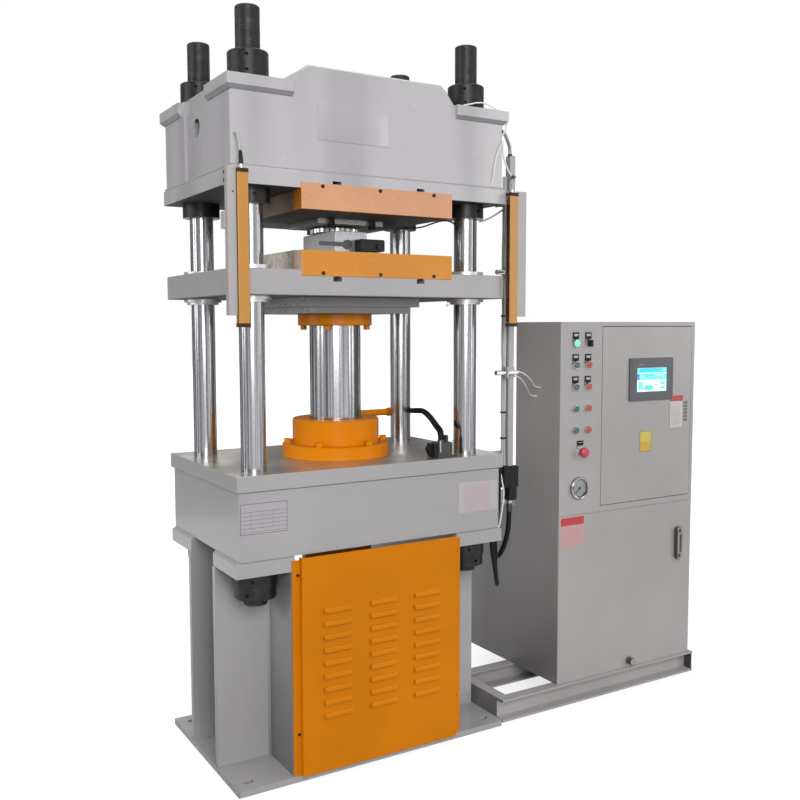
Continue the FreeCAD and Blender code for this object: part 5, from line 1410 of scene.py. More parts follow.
@dataclass
class StudThreads:
    """The threads on the columns' ends: a ridge that winds up each stud."""

    finishes: Finishes
    radius: float = 0.0375
    pitch: float = 0.004
    ridge: float = 0.0012
    turn_steps: int = 36
    reach: tuple[float, float] = (0.404, 0.222)
    spans: tuple[tuple[float, float], ...] = ((2.2815, 2.4125), (0.5785, 0.5965))

    def tree(self) -> Grower:
        """The tree that winds one ridge on each point.

        Returns:
            The tree, with inputs Radius, Tall, Turns and Ridge.
        """
        g = Grower("stud_threads")
        radius, tall = g.size("Radius", self.radius), g.size("Tall", 0.13)
        turns, ridge = g.size("Turns", 30.0), g.size("Ridge", self.ridge)
        wind = g.node("GeometryNodeCurveSpiral", None,
                      {"Resolution": self.turn_steps, "Rotations": turns, "Start Radius": radius,
                       "End Radius": radius, "Height": tall})
        section = g.node("GeometryNodeCurvePrimitiveCircle", None,
                         {"Resolution": 4, "Radius": ridge})
        ridge_mesh = g.node("GeometryNodeCurveToMesh", None,
                            {"Curve": wind.outputs[0], "Profile Curve": section.outputs[0]})
        spread = g.node("GeometryNodeInstanceOnPoints", None,
                        {"Points": g.source.outputs[0], "Instance": ridge_mesh.outputs[0]})
        g.close(spread.outputs[0], self.finishes.get(BLACK))
        return g

    def build(self) -> None:
        """Winds the threads above the nuts and below them."""
        x, y = self.reach
        for number, (low, high) in enumerate(self.spans):
            mesh = bpy.data.meshes.new("thread_feet")
            mesh.from_pydata([(sx * x, sy * y, low) for sx in (-1, 1) for sy in (-1, 1)], [], [])
            tall = high - low
            self.tree().grow("stud_threads_%d" % number, mesh,
                             {"Radius": self.radius - self.ridge * 0.35, "Tall": tall,
                              "Turns": tall / self.pitch, "Ridge": self.ridge}, "frame",
                             "columns", sharp=60.0)


# ------------------------------------------------------------------------- cords
def cut(line: Sequence[Vector], start: float, stop: float) -> list[Vector]:
    """The part of a line between two distances from its first point.

    Args:
        line: its points.
        start: where the part begins, in metres along the line.
        stop: where it ends.

    Returns:
        The part's points, with its own two ends.
    """
    part: list[Vector] = []
    gone = 0.0
    for a, b in zip(line, line[1:]):
        step = (b - a).length
        if step < 1e-9:
            continue
        if not part and gone + step >= start:
            part.append(a.lerp(b, (start - gone) / step))
        if part and gone + step >= stop:
            part.append(a.lerp(b, (stop - gone) / step))
            return part
        if part:
            part.append(b.copy())
        gone += step
    return part


@dataclass(frozen=True)
class Run:
    """One cord, with its route from its exit to the place where it goes back in."""

    name: str
    diameter: float
    length: float
    finish: Finish
    route: tuple[Point, ...]
    node: str = "signal_cables"
    stiffness: str = "medium"
    lay: str = "hanging"
    smooth: int = 14
    round_steps: int = 5

    def curve(self, radius: float = 0.0) -> Object:
        """Makes the route's smooth line.

        Args:
            radius: how thick it is round its line; without it, it is a bare line.

        Returns:
            The curve's object.
        """
        data = bpy.data.curves.new(self.name, "CURVE")
        data.dimensions = "3D"
        data.resolution_u = self.smooth
        data.bevel_depth = radius
        data.bevel_resolution = self.round_steps
        data.use_fill_caps = radius > 0
        spline = data.splines.new("NURBS")
        spline.points.add(len(self.route) - 1)
        for point, spot in zip(spline.points, self.route):
            point.co = (*spot, 1.0)
        spline.order_u = 3
        spline.use_endpoint_u = True
        spline.resolution_u = self.smooth
        return bpy.data.objects.new(self.name, data)

    def line(self) -> list[Vector]:
        """Reads the smooth line.

        Returns:
            Its points.
        """
        bare = self.curve()
        bpy.context.scene.collection.objects.link(bare)
        bpy.context.view_layer.update()
        graph = bpy.context.evaluated_depsgraph_get()
        mesh = bpy.data.meshes.new_from_object(bare.evaluated_get(graph))
        points = [vert.co.copy() for vert in mesh.vertices]
        bpy.data.objects.remove(bare)
        bpy.data.meshes.remove(mesh)
        return points


def route(*spots: Point) -> tuple[Point, ...]:
    """A cord's route in metres, from points in millimetres."""
    return tuple((x / 1000, y / 1000, z / 1000) for x, y, z in spots)


RUNS: tuple[Run, ...] = (
    Run("oil_hose", 0.019, 0.556, RUBBER, route(
        (586, -250, 815), (586, -250, 757), (592, -236, 690), (590, -216, 634), (590, -190, 596),
        (604, -152, 578), (618, -114, 598), (620, -94, 648), (600, -90, 706), (552, -90, 755),
        (491, -90, 755)), "hoses", "stiff"),
    Run("oil_loop", 0.016, 0.711, RUBBER, route(
        (501, -299, 952), (501, -299, 884), (510, -286, 812), (530, -250, 745), (545, -218, 675),
        (559, -202, 605), (562, -201, 534), (552, -223, 505), (526, -259, 505), (506, -281, 534),
        (494, -282, 600), (484, -281, 648), (484, -281, 685)), "hoses"),
    Run("conduit_hose", 0.021, 0.721, RIBBED, route(
        (400, 295, 1107), (475, 295, 1107), (507, 234, 1111), (473, 158, 1115), (437, 82, 1115),
        (400, 4, 1112), (362, -76, 1106), (327, -152, 1096), (298, -212, 1092),
        (281, -249, 1088), (272, -268, 1074), (272, -268, 1044)), "conduit", "stiff"),
    Run("upper_wire", 0.005, 0.221, CABLE_WHITE, route(
        (603, -242, 1286), (625, -242, 1286), (673, -226, 1276), (726, -198, 1249),
        (766, -174, 1217), (793, -174, 1217))),
    Run("lower_wire", 0.005, 0.235, CABLE_WHITE, route(
        (603, -232, 1270), (625, -232, 1270), (672, -212, 1254), (724, -178, 1216),
        (764, -148, 1182), (793, -148, 1182))),
    Run("left_curtain_lead", 0.008, 0.125, CABLE_GREY, route(
        (-478, -340.5, 1912), (-478, -340.5, 1956), (-483, -336.5, 1996), (-487, -334, 2018),
        (-487, -312, 2018))),
    Run("right_curtain_lead", 0.008, 0.160, CABLE_GREY, route(
        (519, -340.5, 1912), (519, -340.5, 1940), (528, -328, 1966), (552, -302, 1978),
        (585, -280, 1980), (585, -250.5, 1980))),
    Run("top_lead", 0.012, 0.139, CABLE_GREY, route(
        (498, -292, 2128), (518, -292, 2128), (536, -282, 2114), (562, -262, 2098),
        (586, -240, 2084), (586, -240, 2058))),
)
# Leads that no CAD solid stands for.
THIN_RUNS: tuple[Run, ...] = (
    Run("white_lead", 0.006, 0.272, CABLE_WHITE, route(
        (491, -270, 940), (512, -270, 941), (530, -270, 924), (538, -270, 885), (545, -270, 858),
        (545, -270, 832), (539, -270, 795), (531, -270, 745), (522, -270, 717),
        (502, -270, 711))),
    Run("collar_lead", 0.006, 0.126, CABLE_GREY, route(
        (466, -222, 1822), (490, -222, 1828), (530, -226, 1847), (560, -230, 1868),
        (579, -232, 1876)), lay="taut"),
    Run("back_lead", 0.006, 0.382, RUBBER, route(
        (449, 179, 1835), (462, 150, 1836), (436, 60, 1836), (412, -40, 1838), (404, -100, 1835),
        (390, -156, 1824), (378, -190, 1813))),
    Run("head_lead", 0.005, 0.271, CABLE_WHITE, route(
        (338, -292, 2190), (340, -294, 2198), (366, -300, 2203), (392, -303, 2211),
        (421, -304, 2214), (451, -304, 2207), (480, -304, 2196), (506, -304, 2195),
        (519, -304, 2186), (519, -306, 2150), (512, -307, 2124), (498, -307, 2112))),
    Run("face_lead", 0.004, 0.167, CABLE_WHITE, route(
        (496, -312, 2093), (495, -316, 2090), (484, -316, 2072), (473, -316, 2052),
        (466, -316, 2030), (462, -316, 2008), (455, -316, 1972), (449, -316, 1946),
        (447, -312, 1936))),
    Run("rail_lead", 0.006, 0.137, CABLE_WHITE, route(
        (498, -300, 2098), (508, -300, 2092), (508, -300, 2050), (516, -302, 2022),
        (525, -304, 2000), (533, -308, 1984), (540, -314, 1972))),
)


@dataclass(frozen=True)
class Sleeve:
    """A nut, ferrule, plug or grommet that follows a cord.

    Each part is where it starts and stops along the cord, its radius at both ends and its
    finish.
    """

    run: str
    name: str
    parts: tuple[tuple[float, float, float, float, Finish], ...]
    from_end: bool = False
    steps: int = 20


SLEEVES: tuple[Sleeve, ...] = (
    Sleeve("oil_hose", "hose_ferrule_top",
           ((0.000, 0.012, 0.0122, 0.0122, HEX_STEEL),
            (0.012, 0.040, 0.0112, 0.0112, DARK_FERRULE),
            (0.040, 0.043, 0.0110, 0.0102, DARK_FERRULE))),
    Sleeve("oil_hose", "hose_ferrule_end",
           ((0.000, 0.012, 0.0122, 0.0122, HEX_STEEL),
            (0.012, 0.036, 0.0112, 0.0112, DARK_FERRULE)), from_end=True),
    Sleeve("oil_loop", "loop_clamp_top", ((0.000, 0.016, 0.0096, 0.0096, BLACK_PLASTIC),)),
    Sleeve("oil_loop", "loop_clamp_end", ((0.000, 0.012, 0.0098, 0.0094, BLACK_PLASTIC),),
           from_end=True),
    Sleeve("conduit_hose", "conduit_nut",
           ((0.000, 0.006, 0.0118, 0.0118, BLACK_PLASTIC),
            (0.006, 0.016, 0.0116, 0.0108, BLACK_PLASTIC)), from_end=True),
    Sleeve("upper_wire", "upper_wire_grommet",
           ((0.000, 0.006, 0.0050, 0.0042, BLACK_PLASTIC),)),
    Sleeve("lower_wire", "lower_wire_grommet",
           ((0.000, 0.006, 0.0050, 0.0042, BLACK_PLASTIC),)),
    Sleeve("left_curtain_lead", "left_lead_plug",
           ((0.000, 0.012, 0.0072, 0.0072, ZINC),
            (0.012, 0.040, 0.0068, 0.0060, BLACK_PLASTIC),
            (0.040, 0.052, 0.0058, 0.0046, BLACK_PLASTIC))),
    Sleeve("right_curtain_lead", "right_lead_plug",
           ((0.000, 0.010, 0.0072, 0.0072, ZINC),
            (0.052, 0.084, 0.0062, 0.0056, BLACK_PLASTIC))),
    Sleeve("top_lead", "top_lead_gland", ((0.000, 0.010, 0.0090, 0.0086, BLACK_PLASTIC),),
           steps=12),
    Sleeve("top_lead", "top_lead_grommet", ((0.000, 0.008, 0.0086, 0.0078, BLACK_PLASTIC),),
           from_end=True),
)


@dataclass
class Cords:
    """The hoses, the ribbed conduit and the signal cables, with their fittings."""

    finishes: Finishes
    rib_pitch: float = 0.0042
    rib_depth: float = 0.075
    bundle_foot: Point = (0.5667, -0.2358, 0.942)
    bundle_top: float = 1.985
    bundle_radius: float = 0.0098
    tie_heights: tuple[float, ...] = (1.040, 1.135, 1.485)
    strands: int = 7
    strand_share: float = 0.335
    strand_steps: int = 90
    strand_sides: int = 10
    twist: float = 2.2
    sway: float = 1.5
    sways: float = 5.0
    squeeze: float = 0.14
    squeezes: float = 23.0
    tie_band: tuple[tuple[float, float], ...] = (
        (0.0099, 0.0), (0.0117, 0.0004), (0.0119, 0.0030), (0.0117, 0.0056), (0.0099, 0.0060))
    tie_lock: Rect = (-0.0145, -0.0095, -0.0105, -0.0040)
    tie_tall: float = 0.006
    end_ease: float = 0.0006
    end_proud: float = 0.0003

    def declare(self, run: Run,
                pieces: Sequence[Object] = ()) -> None:
        """Hides the CAD solids that the cord stands for, unless it is thin.

        Args:
            run: the cord.
            pieces: the fittings on it; not used.
        """
        if run not in THIN_RUNS:
            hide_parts(run.node)

    def plain(self, run: Run) -> None:
        """Makes a smooth round cord with its fittings.

        Args:
            run: the cord.
        """
        pieces = self.sleeves(run)
        piece = run.curve(run.diameter / 2)
        piece.data.materials.append(self.finishes.get(run.finish))
        Former.settle(piece, "frame", run.node)
        self.declare(run, pieces=pieces)

    def sleeves(self, run: Run) -> list[Object]:
        """Makes the nuts, ferrules, plugs and grommets of one cord.

        Args:
            run: the cord.

        Returns:
            The pieces.
        """
        made = []
        for sleeve in SLEEVES:
            if sleeve.run != run.name:
                continue
            line = run.line()[::-1] if sleeve.from_end else run.line()
            f = Former(sleeve.name, self.finishes)
            for start, stop, first, last, finish in sleeve.parts:
                path = cut(line, start, stop)
                count = max(1, len(path) - 1)
                path = [path[0], *path, path[-1]]
                scale = [first - self.end_ease]
                scale += [first + (last - first) * i / count for i in range(count + 1)]
                scale.append(last - self.end_ease)
                way = (path[2] - path[1]).normalized()
                back = (path[-2] - path[-3]).normalized()
                path[0] = path[0] - way * self.end_proud
                path[-1] = path[-1] + back * self.end_proud
                f.tube(path, 1.0, finish, 6 if finish is HEX_STEEL else sleeve.steps,
                       lambda i, r=scale: r[i])
            made.append(f.end("frame", run.node))
        return made

    def conduit(self, run: Run) -> None:
        """Makes the ribbed conduit from the pipe's sleeve to the connector.

        Args:
            run: its route.
        """
        line = run.line()
        mesh = bpy.data.meshes.new("conduit_line")
        mesh.from_pydata([tuple(p) for p in line], [(i, i + 1) for i in range(len(line) - 1)],
                         [])
        skin = ribbed_skin(self.finishes.get(run.finish))
        piece = skin.grow(run.name, mesh, {"Radius": run.diameter / 2 * (1 + self.rib_depth),
                                           "Pitch": self.rib_pitch, "Depth": self.rib_depth},
                          "frame", run.node, sharp=70.0)
        self.declare(run, pieces=self.sleeves(run))

    def bundle(self) -> None:
        """The cable loom along the rail: jacketed strands and their ties."""
        x, y, z = self.bundle_foot
        strands = Former("loom_strands", self.finishes)
        thick = self.bundle_radius * self.strand_share
        for i in range(self.strands):
            ring = self.bundle_radius - thick if i else 0.0
            path = []
            for k in range(self.strand_steps + 1):
                t = k / self.strand_steps
                h = z + (self.bundle_top - z) * t
                a = (2 * math.pi * (i / (self.strands - 1))
                     + self.sway * math.sin(self.sways * t + 1.3) + self.twist * t)
                r = ring * (1 - self.squeeze
                            + self.squeeze * math.sin(self.squeezes * t + 2.1 * i))
                path.append(Vector((x + r * math.cos(a), y + r * math.sin(a), h)))
            strands.tube(path, thick, CABLE_DULL if i % 3 else CABLE_GREY, self.strand_sides)
        loom = strands.end("frame", "signal_cables", sharp=60.0)
        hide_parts("signal_cables")
        ties = Former("loom_ties", self.finishes)
        x0, x1, y0, y1 = self.tie_lock
        for h in self.tie_heights:
            ties.lathe(self.tie_band, Matrix.Translation((x, y, h)), BLACK_PLASTIC, 24)
            ties.box((x + x0, y + y0, h), (x + x1, y + y1, h + self.tie_tall), BLACK_PLASTIC,
                     0.0006)
        ties.end("frame", "signal_cables")

    def build(self) -> None:
        """All of them."""
        for run in (*RUNS, *THIN_RUNS):
            if run.finish is RIBBED:
                self.conduit(run)
            else:
                self.plain(run)
        self.bundle()


# ------------------------------------------------------------------ control face
def border(x0: float, x1: float, z0: float, z1: float, wide: float) -> list[Rect]:
    """Splits a rectangle's border into four bars.

    Args:
        x0: the rectangle's left side.
        x1: its right side.
        z0: its foot.
        z1: its top.
        wide: how wide the border is.

    Returns:
        Each bar's left side, foot, right side and top.
    """
    return [(x0, z0, x1, z0 + wide), (x0, z1 - wide, x1, z1),
            (x0, z0 + wide, x0 + wide, z1 - wide), (x1 - wide, z0 + wide, x1, z1 - wide)]


# Plain fields of the screen, in shares of its width and height: left, foot, right, top.
SCREEN_FIELDS: tuple[tuple[Rect, Finish], ...] = (
    ((0.01, 0.80, 0.99, 0.985), SCREEN_TEAL), ((0.02, 0.83, 0.10, 0.96), SCREEN_WHITE),
    ((0.84, 0.86, 0.97, 0.94), SCREEN_WHITE), ((0.01, 0.50, 0.09, 0.76), SCREEN_BLUE),
    ((0.11, 0.50, 0.99, 0.76), SCREEN_SKY), ((0.30, 0.64, 0.56, 0.70), SCREEN_GREEN),
    ((0.60, 0.66, 0.92, 0.72), SCREEN_WHITE), ((0.14, 0.56, 0.26, 0.70), SCREEN_WHITE),
    ((0.26, 0.08, 0.53, 0.26), SCREEN_GREEN), ((0.58, 0.40, 0.72, 0.45), SCREEN_RED),
    ((0.58, 0.26, 0.72, 0.31), SCREEN_RED), ((0.80, 0.12, 0.94, 0.20), SCREEN_TEAL),
    ((0.80, 0.30, 0.94, 0.38), SCREEN_TEAL), ((0.05, 0.12, 0.20, 0.40), SCREEN_SKY))


@dataclass
class ControlFace:
    """What stands on the cabinet's front: legend plates, screen, dial and level glass."""

    finishes: Finishes
    front: float = -0.288
    columns: tuple[float, float] = (0.865, 0.927)
    rows: tuple[float, ...] = (1.387, 1.305, 1.222)
    ring: float = 0.0152
    legend: tuple[float, float] = (0.030, 0.041)
    stop_legend: Rect = (0.893, 0.983, 0.030, 0.034)
    window: float = 0.66
    screen: Rect = (1.177, 1.341, 1.191, 1.286)
    screen_y: float = -0.2975
    screen_gap: float = 0.0006
    panel: Rect = (1.150, 1.370, 1.165, 1.316)
    panel_y: float = -0.2990
    panel_rim: float = 0.0015
    panel_mark: Rect = (1.185, 1.213, 1.297, 1.302)
    dial: Point = (0.888, -0.294, 0.836)
    dial_radius: float = 0.0345
    dial_well: float = 0.0014
    tick_count: int = 31
    tick_sweep: float = 270.0
    tick_start: float = -45.0
    tick_reach: float = 0.0295
    tick_long: float = 0.0034
    tick_wide: float = 0.0007
    level: tuple[float, float] = (1.432, 0.559)
    level_half: float = 0.0375
    level_marks: int = 9
    level_pitch: float = 0.008

    def legends(self) -> None:
        """The black legend plates with their pale windows, all left bare."""
        f = Former("legend_plates", self.finishes)
        spots = [(x, z, *self.legend) for z in self.rows for x in self.columns]
        y, ring = self.front, self.ring
        for x, z, wide, up in (*spots, self.stop_legend):
            half = wide / 2
            f.box((x - half, y - 0.0025, z + ring * 0.2), (x - ring * 0.99, y, z + up),
                  BLACK_PLASTIC, 0.0004)
            f.box((x - half, y - 0.0030, z + ring), (x + half, y, z + up), BLACK_PLASTIC, 0.0008)
            f.box((x - half * self.window, y - 0.0036, z + ring + 0.011),
                  (x + half * self.window, y - 0.001, z + up - 0.006), LEGEND_WHITE, 0.0004)
        f.end("frame", "button_bezels")

    def operator_panel(self) -> None:
        """The lit screen with plain fields, the panel's rim and its small mark."""
        x0, x1, z0, z1 = self.screen
        y, g = self.screen_y, self.screen_gap
        f = Former("screen_fields", self.finishes)
        f.box((x0 + g, y - 0.0002, z0 + g), (x1 - g, y + 0.0010, z1 - g), SCREEN_BACK)
        wide, tall = x1 - x0, z1 - z0
        for (a, b, c, d), finish in SCREEN_FIELDS:
            f.box((x0 + a * wide, y - 0.0005, z0 + b * tall),
                  (x0 + c * wide, y - 0.0001, z0 + d * tall), finish)
        f.end("door", "operator_panel")
        rim = Former("panel_rim", self.finishes)
        y = self.panel_y
        for a, b, c, d in border(*self.panel, self.panel_rim):
            rim.box((a, y - 0.0005, b), (c, y + 0.001, d), SCREEN_FRAME)
        x0, x1, z0, z1 = self.panel_mark
        rim.box((x0, y - 0.0003, z0), (x1, y + 0.001, z1), PALE_GREY)
        rim.end("door", "operator_panel")

    def face(self, place: Matrix) -> None:
        """The dial's pale face in its black well.

        Args:
            place: the dial's foot and axis.
        """
        rim, well = self.dial_radius, self.dial_well
        face = Former("dial_face", self.finishes)
        face.lathe([(0.0, -0.0012), (rim, -0.0012), (rim, 0.0004), (0.0, 0.0004)], place,
                   DIAL_WHITE, 48)
        face.lathe([(rim - well, -0.0006), (rim + 0.0004, -0.0006), (rim + 0.0004, 0.0048),
                    (rim - well, 0.0048), (rim - well, -0.0006)], place, BLACK_PLASTIC, 48)
        face.end("frame", "gauge")

    def ticks(self) -> None:
        """The dial's ticks round three quarters of the circle, every fifth one longer."""
        x, y, z = self.dial
        g = Grower("dial_ticks")
        reach, long = g.size("Reach", self.tick_reach), g.size("Long", self.tick_long)
        wide = g.size("Wide", self.tick_wide)
        line = g.node("GeometryNodeMeshLine", None, {"Count": self.tick_count})
        index = g.node("GeometryNodeInputIndex")
        pitch = math.radians(self.tick_sweep / (self.tick_count - 1))
        angle = g.maths("ADD", g.maths("MULTIPLY", index.outputs[0], pitch),
                        math.radians(self.tick_start))
        spot = g.node("ShaderNodeCombineXYZ", None,
                      {0: g.maths("MULTIPLY", reach, g.maths("COSINE", angle, 0.0)),
                       1: -0.0005,
                       2: g.maths("MULTIPLY", reach, g.maths("SINE", angle, 0.0))})
        centre = g.node("ShaderNodeVectorMath", {"operation": "ADD"},
                        {0: spot.outputs[0], 1: (x, y, z)})
        line = g.node("GeometryNodeSetPosition", None,
                      {"Geometry": line.outputs[0], "Position": centre.outputs[0]})
        fifth = g.maths("LESS_THAN", g.maths("MODULO", index.outputs[0], 5.0), 0.5)
        stretch = g.maths("ADD", 1.0, g.maths("MULTIPLY", fifth, 0.9))
        bar = g.node("ShaderNodeCombineXYZ", None, {0: long, 1: 0.0003, 2: wide})
        tick = g.node("GeometryNodeMeshCube", None, {"Size": bar.outputs[0]})
        lean = g.node("ShaderNodeCombineXYZ", None, {1: g.maths("MULTIPLY", angle, -1.0)})
        turn = g.node("FunctionNodeEulerToRotation", None, {0: lean.outputs[0]})
        scale = g.node("ShaderNodeCombineXYZ", None, {0: stretch, 1: 1.0, 2: stretch})
        spread = g.node("GeometryNodeInstanceOnPoints", None,
                        {"Points": line.outputs[0], "Instance": tick.outputs[0],
                         "Rotation": turn.outputs[0], "Scale": scale.outputs[0]})
        g.close(spread.outputs[0], self.finishes.get(BLACK_PLASTIC))
        mesh = bpy.data.meshes.new("dial_seed")
        mesh.from_pydata([(x, y, z)], [], [])
        g.grow("dial_ticks", mesh, {"Reach": self.tick_reach, "Long": self.tick_long,
                                    "Wide": self.tick_wide}, "frame", "gauge")

    def glass(self, place: Matrix) -> None:
        """The dial's clear cover.

        Args:
            place: the dial's foot and axis.
        """
        rim = self.dial_radius
        glass = Former("dial_glass", self.finishes)
        glass.lathe([(0.0, 0.0050), (rim, 0.0050), (rim, 0.0062), (rim * 0.5, 0.0068),
                     (0.0, 0.0070)], place, CLEAR, 48)
        glass.end("frame", "gauge")

    def level_glass(self) -> None:
        """The tank's level glass with its oil and its scale in a dark slot."""
        x, z = self.level
        y, half = self.front - 0.020, self.level_half
        f = Former("level_glass", self.finishes)
        place = Matrix.Translation((x, y + 0.003, z - half))
        f.lathe([(0.0, 0.0), (0.0045, 0.0), (0.0045, 2 * half), (0.0, 2 * half)], place, CLEAR, 20)
        f.lathe([(0.0, 0.0005), (0.0034, 0.0005), (0.0034, 0.052), (0.0, 0.052)], place, OIL, 16)
        f.box((x - 0.0058, y + 0.0045, z - half), (x + 0.0058, y + 0.0058, z + half), SLOT_DARK)
        for number in range(self.level_marks):
            h = z - 0.032 + self.level_pitch * number
            f.box((x + 0.0048, y + 0.0041, h - 0.0003), (x + 0.0057, y + 0.0050, h + 0.0003),
                  PALE_GREY)
        f.end("frame", "tank_fittings")

    def build(self) -> None:
        """All of it."""
        self.legends()
        self.operator_panel()
        x, y, z = self.dial
        place = Matrix.Translation((x, y + 0.0001, z)) @ Axis.FRONT.turn()
        self.face(place)
        self.ticks()
        self.glass(place)
        self.level_glass()


# ------------------------------------------------------------------------ labels
@dataclass
class Labels:
    """The bare plates and stickers, with plain fields of colour."""

    finishes: Finishes
    bed_front: float = -0.313
    unit_front: float = -0.288
    door_front: float = -0.289
    thick: float = 0.0004
    data_plate: Rect = (-0.487, -0.332, 0.819, 0.914)
    plate_rules: tuple[float, ...] = (0.033, 0.070, 0.108)
    beam_sheet: Rect = (0.316, 0.482, 0.803, 0.908)
    door_sheet: Rect = (1.373, 1.447, 1.037, 1.146)
    door_sheet_top: float = 1.168
    door_marks: tuple[float, float] = (1.452, 1.474)
    warm_sheet: Rect = (1.207, 1.271, 0.951, 1.033)
    warm_split: float = 0.992
    tank_sheet: Rect = (0.803, 0.918, 0.611, 0.695)
    tank_sheet_top: float = 0.725

    def frame_of(self, f: Former, rect: Rect, y: float, wide: float, finish: Finish) -> None:
        """Prints a thin border.

        Args:
            f: the piece that it goes on.
            rect: its left side, right side, foot and top.
            y: the plane that it lies on.
            wide: how wide the line is.
            finish: its finish.
        """
        for a, b, c, d in border(*rect, wide):
            self.field(f, a, c, b, d, y, finish, 1.3)

    def field(self, f: Former, x0: float, x1: float, z0: float, z1: float, y: float,
              finish: Finish, lift: float = 1.0) -> None:
        """Puts down a plain rectangle.

        Args:
            f: the piece that it goes on.
            x0: its left side.
            x1: its right side.
            z0: its foot.
            z1: its top.
            y: the plane that it lies on.
            finish: its finish.
            lift: how many sheets' thickness it stands out.
        """
        f.slab([(x0, z0), (x1, z0), (x1, z1), (x0, z1)], y, self.thick * lift, finish)

    def rows(self, f: Former, count: int, x0: float, x1: float, top: float, pitch: float,
             tall: float, y: float, finish: Finish, ragged: float = 0.0,
             lift: float = 1.3) -> None:
        """Puts down plain bars, one below the other.

        Args:
            f: the piece that they go on.
            count: how many.
            x0: their left side.
            x1: their right side.
            top: the first one's foot.
            pitch: how far each one is below the one before.
            tall: their height.
            y: the plane that they lie on.
            finish: their finish.
            ragged: how much shorter the second of three is, and the third twice as much.
            lift: how many sheets' thickness they stand out.
        """
        for i in range(count):
            z = top - i * pitch
            self.field(f, x0, x1 - ragged * (i % 3), z, z + tall, y, finish, lift)

    def bed(self) -> None:
        """The data plate and the pale red sheet on the lower beam."""
        f = Former("beam_plates", self.finishes)
        y = self.bed_front
        x0, x1, z0, z1 = self.data_plate
        self.field(f, x0, x1, z0, z1, y, PLATE_SILVER)
        self.frame_of(f, self.data_plate, y, 0.0015, INK_RED)
        self.rows(f, 6, x0 + 0.004, x1 - 0.004, z1 - 0.026, 0.0125, 0.0009, y, INK_RED)
        for rule in self.plate_rules:
            self.field(f, x0 + rule, x0 + rule + 0.0005, z0 + 0.014, z1 - 0.025, y, INK_RED, 1.3)
        x0, x1, z0, z1 = self.beam_sheet
        self.field(f, x0, x1, z0, z1, y, SHEET_GREY)
        self.field(f, x0 + 0.022, x1 - 0.030, z0 + 0.004, z1 - 0.004, y, SHEET_PALE, 1.3)
        self.rows(f, 8, x0 + 0.026, x1 - 0.036, z1 - 0.026, 0.0085, 0.0010, y, SHEET_BLUSH,
                  0.004, 1.6)
        f.end("frame", "lower_beam")

    def door(self) -> None:
        """The white sheet, the row of marks and the warm sticker on the door."""
        f = Former("door_sheets", self.finishes)
        y = self.door_front
        x0, x1, z0, z1 = self.door_sheet
        self.field(f, x0, x1, z0, z1, y, SHEET_WHITE)
        self.field(f, x0, x1, z1, self.door_sheet_top, y, SHEET_RED)
        self.frame_of(f, self.door_sheet, y, 0.0008, SHEET_LINE)
        self.rows(f, 9, x0 + 0.007, x1 - 0.009, z1 - 0.026, 0.0085, 0.0014, y, SHEET_LINE, 0.005)
        for i in range(6):
            z = z0 + 0.025 + i * 0.0140
            self.field(f, *self.door_marks, z, z + 0.0108, y, SHEET_STEEL)
        x0, x1, z0, z1 = self.warm_sheet
        self.field(f, x0, x1, z0, self.warm_split, y, SHEET_ORANGE)
        self.field(f, x0, x1, self.warm_split, z1, y, SHEET_YELLOW)
        self.frame_of(f, self.warm_sheet, y, 0.0016, SHEET_BROWN)
        f.end("door", "cabinet_door")

    def tank(self) -> None:
        """The sheet on the tank."""
        f = Former("tank_sheet", self.finishes)
        y = self.unit_front
        x0, x1, z0, z1 = self.tank_sheet
        self.field(f, x0, x1, z1, self.tank_sheet_top, y, SHEET_RED)
        self.field(f, x0, x1, z0, z1, y, SHEET_PINK)
        self.rows(f, 6, x0 + 0.008, x1 - 0.009, z1 - 0.016, 0.0120, 0.0018, y, SHEET_ROSE, 0.007)
        f.end("frame", "tank")

    def build(self) -> None:
        """All of them."""
        self.bed()
        self.door()
        self.tank()


# -------------------------------------------------------------------------- trim
@dataclass
class CurtainPair:
    """The lens strips, end caps and side seams of the two light curtains."""

    finishes: Finishes
    centres: tuple[float, float] = (-0.478, 0.519)
    front: float = -0.353
    back: float = -0.328
    half: float = 0.0175
    cap: float = 0.012
    low: float = 1.450
    high: float = 1.912
    lens_end: float = 0.016
    proud: float = 0.0004

    def build(self) -> None:
        """Dresses both bars; the lenses look at each other."""
        for side, x, name in ((1, self.centres[0], "left"), (-1, self.centres[1], "right")):
            f = Former("curtain_trim_" + name, self.finishes)
            lens = x + side * self.half
            a, b = sorted((lens - side * 0.0008, lens + side * 0.0007))
            f.box((a, self.front + 0.0075, self.low + self.lens_end),
                  (b, self.back - 0.0055, self.high - self.lens_end), LENS)
            proud = self.proud
            for z in (self.low, self.high - self.cap):
                f.box((x - self.half - proud, self.front - proud, z),
                      (x + self.half + proud, self.back, z + self.cap), CAP_BROWN, 0.0008)
            edge = x - self.half
            f.box((edge - proud, self.front + 0.003, self.low + self.cap),
                  (edge + proud, self.front + 0.0065, self.high - self.cap), LENS)
            f.end("frame", "light_curtains")


@dataclass(frozen=True)
class Plates:
    """Small blocks that make one piece, each as two corners, a finish and a bevel."""

    name: str
    body: str
    slot: str
    blocks: tuple[tuple[Point, Point, Finish, float], ...]


